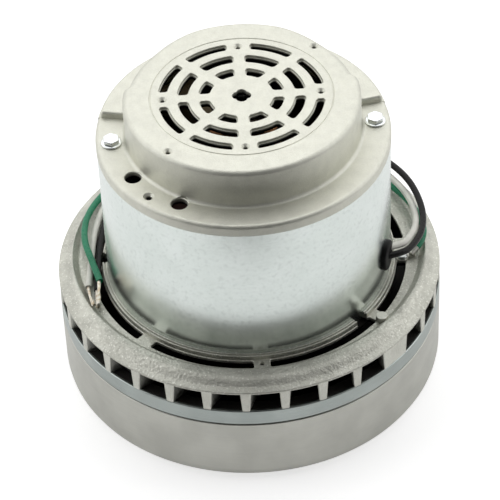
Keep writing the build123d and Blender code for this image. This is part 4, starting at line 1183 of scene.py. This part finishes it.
# %% Grille cutters
spoke_turn = -89.0
wide_spoke = 10.8 * mm
thin_spoke = 5.2 * mm
ledge = 0.4 * mm
ledge_level = dome_top - 1.3 * mm
soft_edge = edge_levels(dome_top, 0.4 * mm) + [(dome_top + 1.5 * mm, 0.4 * mm)]
grille_levels = [(ceiling - 1 * mm, -ledge), (ledge_level, -ledge), (ledge_level + 0.1 * mm, 0.0)] + soft_edge


def grille_window(inner, outer, first, last):
    return window_cutter("window", inner * mm, outer * mm, first, last, 0.42 * (outer - inner) * mm, grille_levels)


def joined(name, pieces):
    """Several pieces as one mesh."""
    work = bmesh.new()
    for piece in pieces:
        work.from_mesh(piece.data)
        bpy.data.objects.remove(piece)
    mesh = bpy.data.meshes.new(name)
    work.to_mesh(mesh)
    work.free()
    return new_object(name, mesh)


outer_pair = joined("outer_pair", [
    grille_window(34.1, 38.2, (0, wide_spoke), (45, thin_spoke)),
    grille_window(34.1, 38.2, (45, thin_spoke), (90, wide_spoke))])
middle_window = grille_window(24.4, 29.4, (0, thin_spoke), (45, thin_spoke))
inner_window = grille_window(14.6, 19.7, (0, thin_spoke), (45, thin_spoke))
grille_cutters = [
    repeated(window, name, count, spoke_turn, 360 / count, fine_casting)
    for window, name, count in (
        (outer_pair, "outer_windows", 4), (middle_window, "middle_windows", 8), (inner_window, "inner_windows", 8))]
print("grille cutters", [len(piece.data.polygons) for piece in grille_cutters])

# %% [markdown]
# ## Holes of the end bracket
# The middle has a four-lobed hole, from four drills side by side. Dimples mark the wide spokes and two more places,
# and the flange has two plain holes that bite into the dome's foot, and a small countersunk one between them. Each
# screw head also has a round seat. Every cutter is again a stack of outlines, with the softened edge in it.

# %% Hole cutters
hole_depth = 5 * mm


def clover(radius, shift, height, count=64):
    """Outline of four overlapping circles."""
    points = []
    for turn in even_turns(count):
        off = math.radians((turn + 45) % 90 - 45)
        reach = shift * math.cos(off) + math.sqrt(radius**2 - (shift * math.sin(off))**2)
        points.append(polar(reach, turn, height))
    return points


def dimple(radius, azimuth, wide=2.3 * mm):
    return circle_cutter("dimple", polar(radius, azimuth), [
        (dome_top - 2.3 * mm, 0.75 * mm), (dome_top - 1.25 * mm, 0.95 * mm), (dome_top - 0.1 * mm, wide - 0.25 * mm),
        (dome_top, wide), (dome_top + 1 * mm, wide + 0.2 * mm)])


def flange_hole(radius, azimuth, hole=3.8 * mm, edge=0.35 * mm, pocket=3.6 * mm):
    """A hole with a softened edge; pocket is how far it cuts up into the dome's wall."""
    return circle_cutter("hole", polar(radius, azimuth), [
        (flange_top - hole_depth, hole), (flange_top - edge, hole), (flange_top - 0.1 * mm, hole + 0.2 * mm),
        (flange_top, hole + edge), (flange_top + pocket, hole + edge)])


print("hole helpers ready")

# %% Cut the end bracket
screw_circle = 60.8 * mm
screw_azimuths = (0.9, -174.0)
lobe_radius, lobe_shift = 2.5 * mm, 1.8 * mm
hub_hole = skinned("hub_hole", [
    clover(lobe_radius + offset, lobe_shift, height)
    for height, offset in [(dome_top - hole_depth, 0.0)] + soft_edge])
bracket_cutters = grille_cutters + [hub_hole]
bracket_cutters += [dimple(36.1 * mm, index * 90 + 1.1) for index in range(4)]
bracket_cutters += [dimple(50.2 * mm, -132.4), dimple(48.4 * mm, 44.5)]
bracket_cutters += [flange_hole(59.3 * mm, -148.4), flange_hole(58.5 * mm, -120.6)]
bracket_cutters.append(circle_cutter("countersink", polar(62.2 * mm, -134.3), [
    (flange_top - hole_depth, 1.3 * mm), (flange_top - 1.1 * mm, 1.4 * mm), (flange_top - 0.1 * mm, 2.5 * mm),
    (flange_top + 0.5 * mm, 3.1 * mm)]))
bracket_cutters += [
    circle_cutter("screw_seat", polar(screw_circle, azimuth), [
        (flange_top - 0.05 * mm, 5.0 * mm), (flange_top + 4.6 * mm, 5.2 * mm)])
    for azimuth in screw_azimuths]
cut(end_bracket, bracket_cutters)
dress(end_bracket, fine_casting, "end_bracket")

# %% [markdown]
# ## Screws
# Two long screws clamp the motor between its brackets. Their heads are hexagons cold-formed on a washer, dished on
# top, zinc plated and bright. A six-sided cylinder has hard edges that no real head has, so one head is skinned from
# a stack of rounded hexagons. The repeat tree puts one at each place.

# %% Hex washer heads
hex_turn = 29.1
spot = Vector((screw_circle, 0, flange_top))


def hexagon(across, rounding, height):
    """A rounded hexagon round the screw's axis, by its width across the flats."""
    corners = [(*polar(across / math.sqrt(3), 60 * index)[:2], rounding) for index in range(6)]
    spin = Matrix.Rotation(math.radians(hex_turn), 3, "Z")
    return [spin @ Vector((*point, height)) + spot for point in rounded(corners, 3)]


hex_levels = [
    (6.9, 0.5, 0.6), (7.1, 0.5, 0.9), (7.0, 0.5, 2.6), (6.6, 0.8, 3.0), (5.8, 1.2, 3.12), (4.6, 1.0, 3.0),
    (3.6, 0.8, 2.75)]
head = skinned("hex_head", [hexagon(*[size * mm for size in level]) for level in hex_levels])
washer_levels = [(0.0, 4.6), (0.35, 4.8), (0.7, 4.75), (0.95, 4.4), (1.05, 3.7)]
washer = skinned("washer", [
    [spot + polar(radius * mm, turn, height * mm) for turn in even_turns(40)] for height, radius in washer_levels])
shank_radius, shank_length = 2.1 * mm, 93 * mm
shank = skinned("shank", [
    [spot + polar(shank_radius, turn, height) for turn in even_turns(20)] for height in (-shank_length, 0.1 * mm)])
screw_step = screw_azimuths[1] - screw_azimuths[0]
screws = repeated(
    joined("screw", [head, washer, shank]), "housing_screw_pair", 2, screw_azimuths[0], screw_step, bright_zinc)
dress(screws, bright_zinc, "housing_screws")

# %% [markdown]
# ## Lead grommet
# A black rubber oval lines the opening and keeps its edge off the leads. Rubber is matt and reflects little. The oval
# is a cushion of inset outlines, wrapped on the shell's cylinder, so it follows the shell without a modifier.

# %% Rubber
def rubber_finish():
    finish = new_finish("black rubber", (0.004, 0.004, 0.004), 0.0, 0.5)
    finish.node_tree.nodes["Principled BSDF"].inputs["Specular IOR Level"].default_value = 0.2
    grain = noise(finish, 1500, 3.0)
    set_input(finish, "Roughness", remap(finish, grain, 0.3, 0.7, 0.42, 0.6))
    add_bump(finish, grain, 0.2, 0.05 * mm)
    return finish


black_rubber = rubber_finish()
print("rubber ready")

# %% Grommet
pad_overlap = 2.8 * mm
pad_height = 2.4 * mm
pad_rounding = 1.2 * mm
pad_levels = [(0.0, -0.1 * mm), (0.0, pad_height - pad_rounding)]
for degrees in (22.5, 45, 67.5, 90):
    turn = math.radians(degrees)
    pad_levels.append((pad_rounding * (1 - math.cos(turn)), pad_height - pad_rounding + pad_rounding * math.sin(turn)))
pad_levels += [(2.6 * mm, pad_height + 0.02 * mm), (4.0 * mm, pad_height - 0.2 * mm), (6.0 * mm, pad_height - 0.3 * mm)]
pad = skinned("grommet_pad", [
    wrapped(opening_width + pad_overlap - 2 * inset, opening_length + pad_overlap - 2 * inset, shell_radius + lift)
    for inset, lift in pad_levels])
dress(pad, black_rubber, "lead_grommet")

# %% [markdown]
# ## Inner pieces
# What lies inside shows only in glimpses through the grille and the slots. Finer meshes would be wasted there. The CAD
# meshes are right, and get a finish each: enamelled copper, stacked iron, tan moulded plastic, carbon, ground steel
# and rolled aluminium.

# %% Plain, striped and moulded finishes
def plain_metal(name, colour, roughness, cells):
    finish = new_finish(name, colour, 1.0, roughness)
    grain = noise(finish, cells, 3.0)
    set_input(finish, "Roughness", remap(finish, grain, 0.3, 0.7, roughness - 0.06, roughness + 0.1))
    add_bump(finish, grain, 0.08, 0.05 * mm)
    return finish


def striped_finish(name, colour, gap, lines, metallic, roughness):
    """Fine even lines along Z, such as the edges of stacked sheets or the turns of a coil."""
    finish = new_finish(name, colour, metallic, roughness)
    tree = finish.node_tree
    stripes = add_node(tree, "ShaderNodeTexWave", {
        "Vector": tree.nodes.new("ShaderNodeTexCoord").outputs["Object"], "Scale": lines, "Distortion": 0.6,
    }, bands_direction="Z").outputs["Fac"]
    set_input(finish, "Base Color", blend_colour(finish, stripes, gap, colour))
    add_bump(finish, stripes, 0.5, 0.15 * mm)
    return finish


def moulded_finish(name, colour, roughness):
    finish = new_finish(name, colour, 0.0, roughness)
    grain = noise(finish, 500, 4.0)
    set_input(finish, "Base Color", blend_colour(finish, grain, shaded(colour, 0.8), colour))
    add_bump(finish, grain, 0.15, 0.05 * mm)
    return finish


print("inner finish helpers ready")

# %% Finishes of the inner pieces
inner_finishes = {
    "lamination": striped_finish("stacked iron", (0.14, 0.13, 0.13), (0.03, 0.03, 0.03), 320, 0.8, 0.5),
    "winding": striped_finish("enamelled copper", (0.16, 0.05, 0.018), (0.04, 0.012, 0.006), 260, 0.6, 0.4),
    "holder_plastic": moulded_finish("tan moulding", (0.50, 0.38, 0.22), 0.5),
    "screw_zinc": plain_metal("dull zinc", (0.55, 0.57, 0.56), 0.36, 900),
    "red_insulation": insulation_finish("red insulation", (0.50, 0.016, 0.016), 0.4, 0.5),
    "bearing_steel": plain_metal("ground steel", (0.50, 0.50, 0.50), 0.3, 900),
    "tinned_brass": plain_metal("tinned brass", (0.60, 0.59, 0.54), 0.42, 500),
    "commutator_copper": plain_metal("turned copper", (0.55, 0.27, 0.13), 0.3, 700),
    "sheet_aluminium": plain_metal("rolled aluminium", (0.62, 0.62, 0.62), 0.35, 400),
    "carbon": moulded_finish("pressed carbon", (0.02, 0.02, 0.02), 0.6),
}
dressed = []
for subpart in frame["record"]["subparts"]:
    finish = inner_finishes.get(subpart["material_slot"])
    if finish:
        dressed.append(subpart["node"])
        for place in frame["nodes"][subpart["node"]].material_slots:
            place.material = finish
print("CAD nodes dressed", len(dressed))

# %% [markdown]
# ## Floor
# The photograph is a packshot on a white floor. More light would whiten the floor but also bleach the metal. So the
# floor is pale, keeps the object's shadow, and adds a glow of its own that only the camera and reflections see.

# %% Floor
floor_size = 4.0
floor_tone = 0.72
camera_glow = 0.63
mirrored_glow = 0.29


def floor_finish():
    finish = bpy.data.materials.new("pale floor")
    finish.use_nodes = True
    tree = finish.node_tree
    tree.nodes.remove(tree.nodes["Principled BSDF"])
    path = tree.nodes.new("ShaderNodeLightPath").outputs
    seen = math_node(tree, "MULTIPLY", path["Is Camera Ray"], camera_glow)
    mirrored = math_node(tree, "MULTIPLY", path["Is Glossy Ray"], mirrored_glow)
    glow = add_node(tree, "ShaderNodeEmission", {"Strength": math_node(tree, "ADD", seen, mirrored)})
    diffuse = add_node(tree, "ShaderNodeBsdfDiffuse", {"Color": (floor_tone, floor_tone, floor_tone, 1)})
    both = add_node(tree, "ShaderNodeAddShader", {0: diffuse.outputs[0], 1: glow.outputs[0]})
    tree.links.new(both.outputs[0], tree.nodes["Material Output"].inputs["Surface"])
    return finish


def flat_piece(name, side, near, far, height):
    """A level rectangle, as far to the left as to the right."""
    corners = [(-side, near, height), (side, near, height), (side, far, height), (-side, far, height)]
    return new_piece(name, corners, [(0, 1, 2, 3)])


floor = flat_piece("floor", floor_size, -floor_size, floor_size, -0.02 * mm)
floor.data.materials.append(floor_finish())
print("floor", floor_size * 2, "m square")

# %% [markdown]
# ## Black card
# The metal of the photograph is dark in front, because the room there is dark. Metal shows what stands round it, so a
# black card lies on the floor in front, as a photographer would put one. It acts on reflections only: the camera
# doesn't see it and it casts no shadow.

# %% Black card
card_side = 0.6
card_start = 0.225
card_end = 1.2
card = flat_piece("black_card", card_side, -card_end, -card_start, 1 * mm)
card.data.materials.append(new_finish("black card", (0.02, 0.02, 0.02), 0.0, 0.9))
card.visible_camera = False
card.visible_diffuse = False
card.visible_shadow = False
print("black card from", card_start, "to", card_end, "m in front of the axis")

# %% [markdown]
# ## World
# Very soft light comes from all sides in a white studio. A picture of a studio could be wrapped round the scene, but
# two ranges do the same: the world grows brighter with height, and it darkens towards the room behind the camera. The
# camera itself sees plain white.

# %% World
horizon_light = 0.66
high_light = 1.34
room_light = 0.04
room_direction = (0.0, -0.88, 0.48)
world = bpy.data.worlds.new("studio")
world.use_nodes = True
bpy.context.scene.world = world
tree = world.node_tree
direction = tree.nodes.new("ShaderNodeTexCoord").outputs["Generated"]
height = add_node(tree, "ShaderNodeSeparateXYZ", {0: direction}).outputs["Z"]
sky = remap(world, height, 0.0, 0.7, horizon_light, high_light)
facing = add_node(tree, "ShaderNodeVectorMath", {0: direction, 1: room_direction}, operation="DOT_PRODUCT")
room = remap(world, facing.outputs["Value"], 0.05, 0.8, 1.0, room_light)
room.node.interpolation_type = "SMOOTHSTEP"
strength = add_node(tree, "ShaderNodeMix", {
    "Factor": tree.nodes.new("ShaderNodeLightPath").outputs["Is Camera Ray"],
    "A": math_node(tree, "MULTIPLY", sky, room), "B": 1.0})
background = tree.nodes["Background"]
background.inputs["Color"].default_value = (1, 1, 1, 1)
tree.links.new(strength.outputs["Result"], background.inputs["Strength"])
print("world", horizon_light, "at the horizon and", high_light, "above, and", room_light, "of that in front")

# %% [markdown]
# ## Lamps
# The photograph's shadows are faint, so the lamps are large and weak. One above and behind lights the flat tops, and
# one on each side draws the bright edges of the shell.

# %% Lamps
def soft_box(name, place, aim_height, size, power):
    """A square area lamp that looks at a point of the axis."""
    lamp = new_object(name, bpy.data.lights.new(name, "AREA"))
    lamp.data.size = size
    lamp.data.energy = power
    turn = (Vector(place) - Vector((0, 0, aim_height))).to_track_quat("Z", "Y")
    lamp.matrix_world = Matrix.Translation(place) @ turn.to_matrix().to_4x4()


soft_box("top light", (0.0, 0.5, 1.2), 0.12, 0.8, 0.62)
soft_box("left light", (-1.1, -0.1, 0.75), 0.08, 0.7, 1.95)
soft_box("right light", (1.1, 0.0, 0.7), 0.08, 0.6, 1.17)
bpy.context.scene.view_settings.view_transform = "Standard"
print("lamps ready")
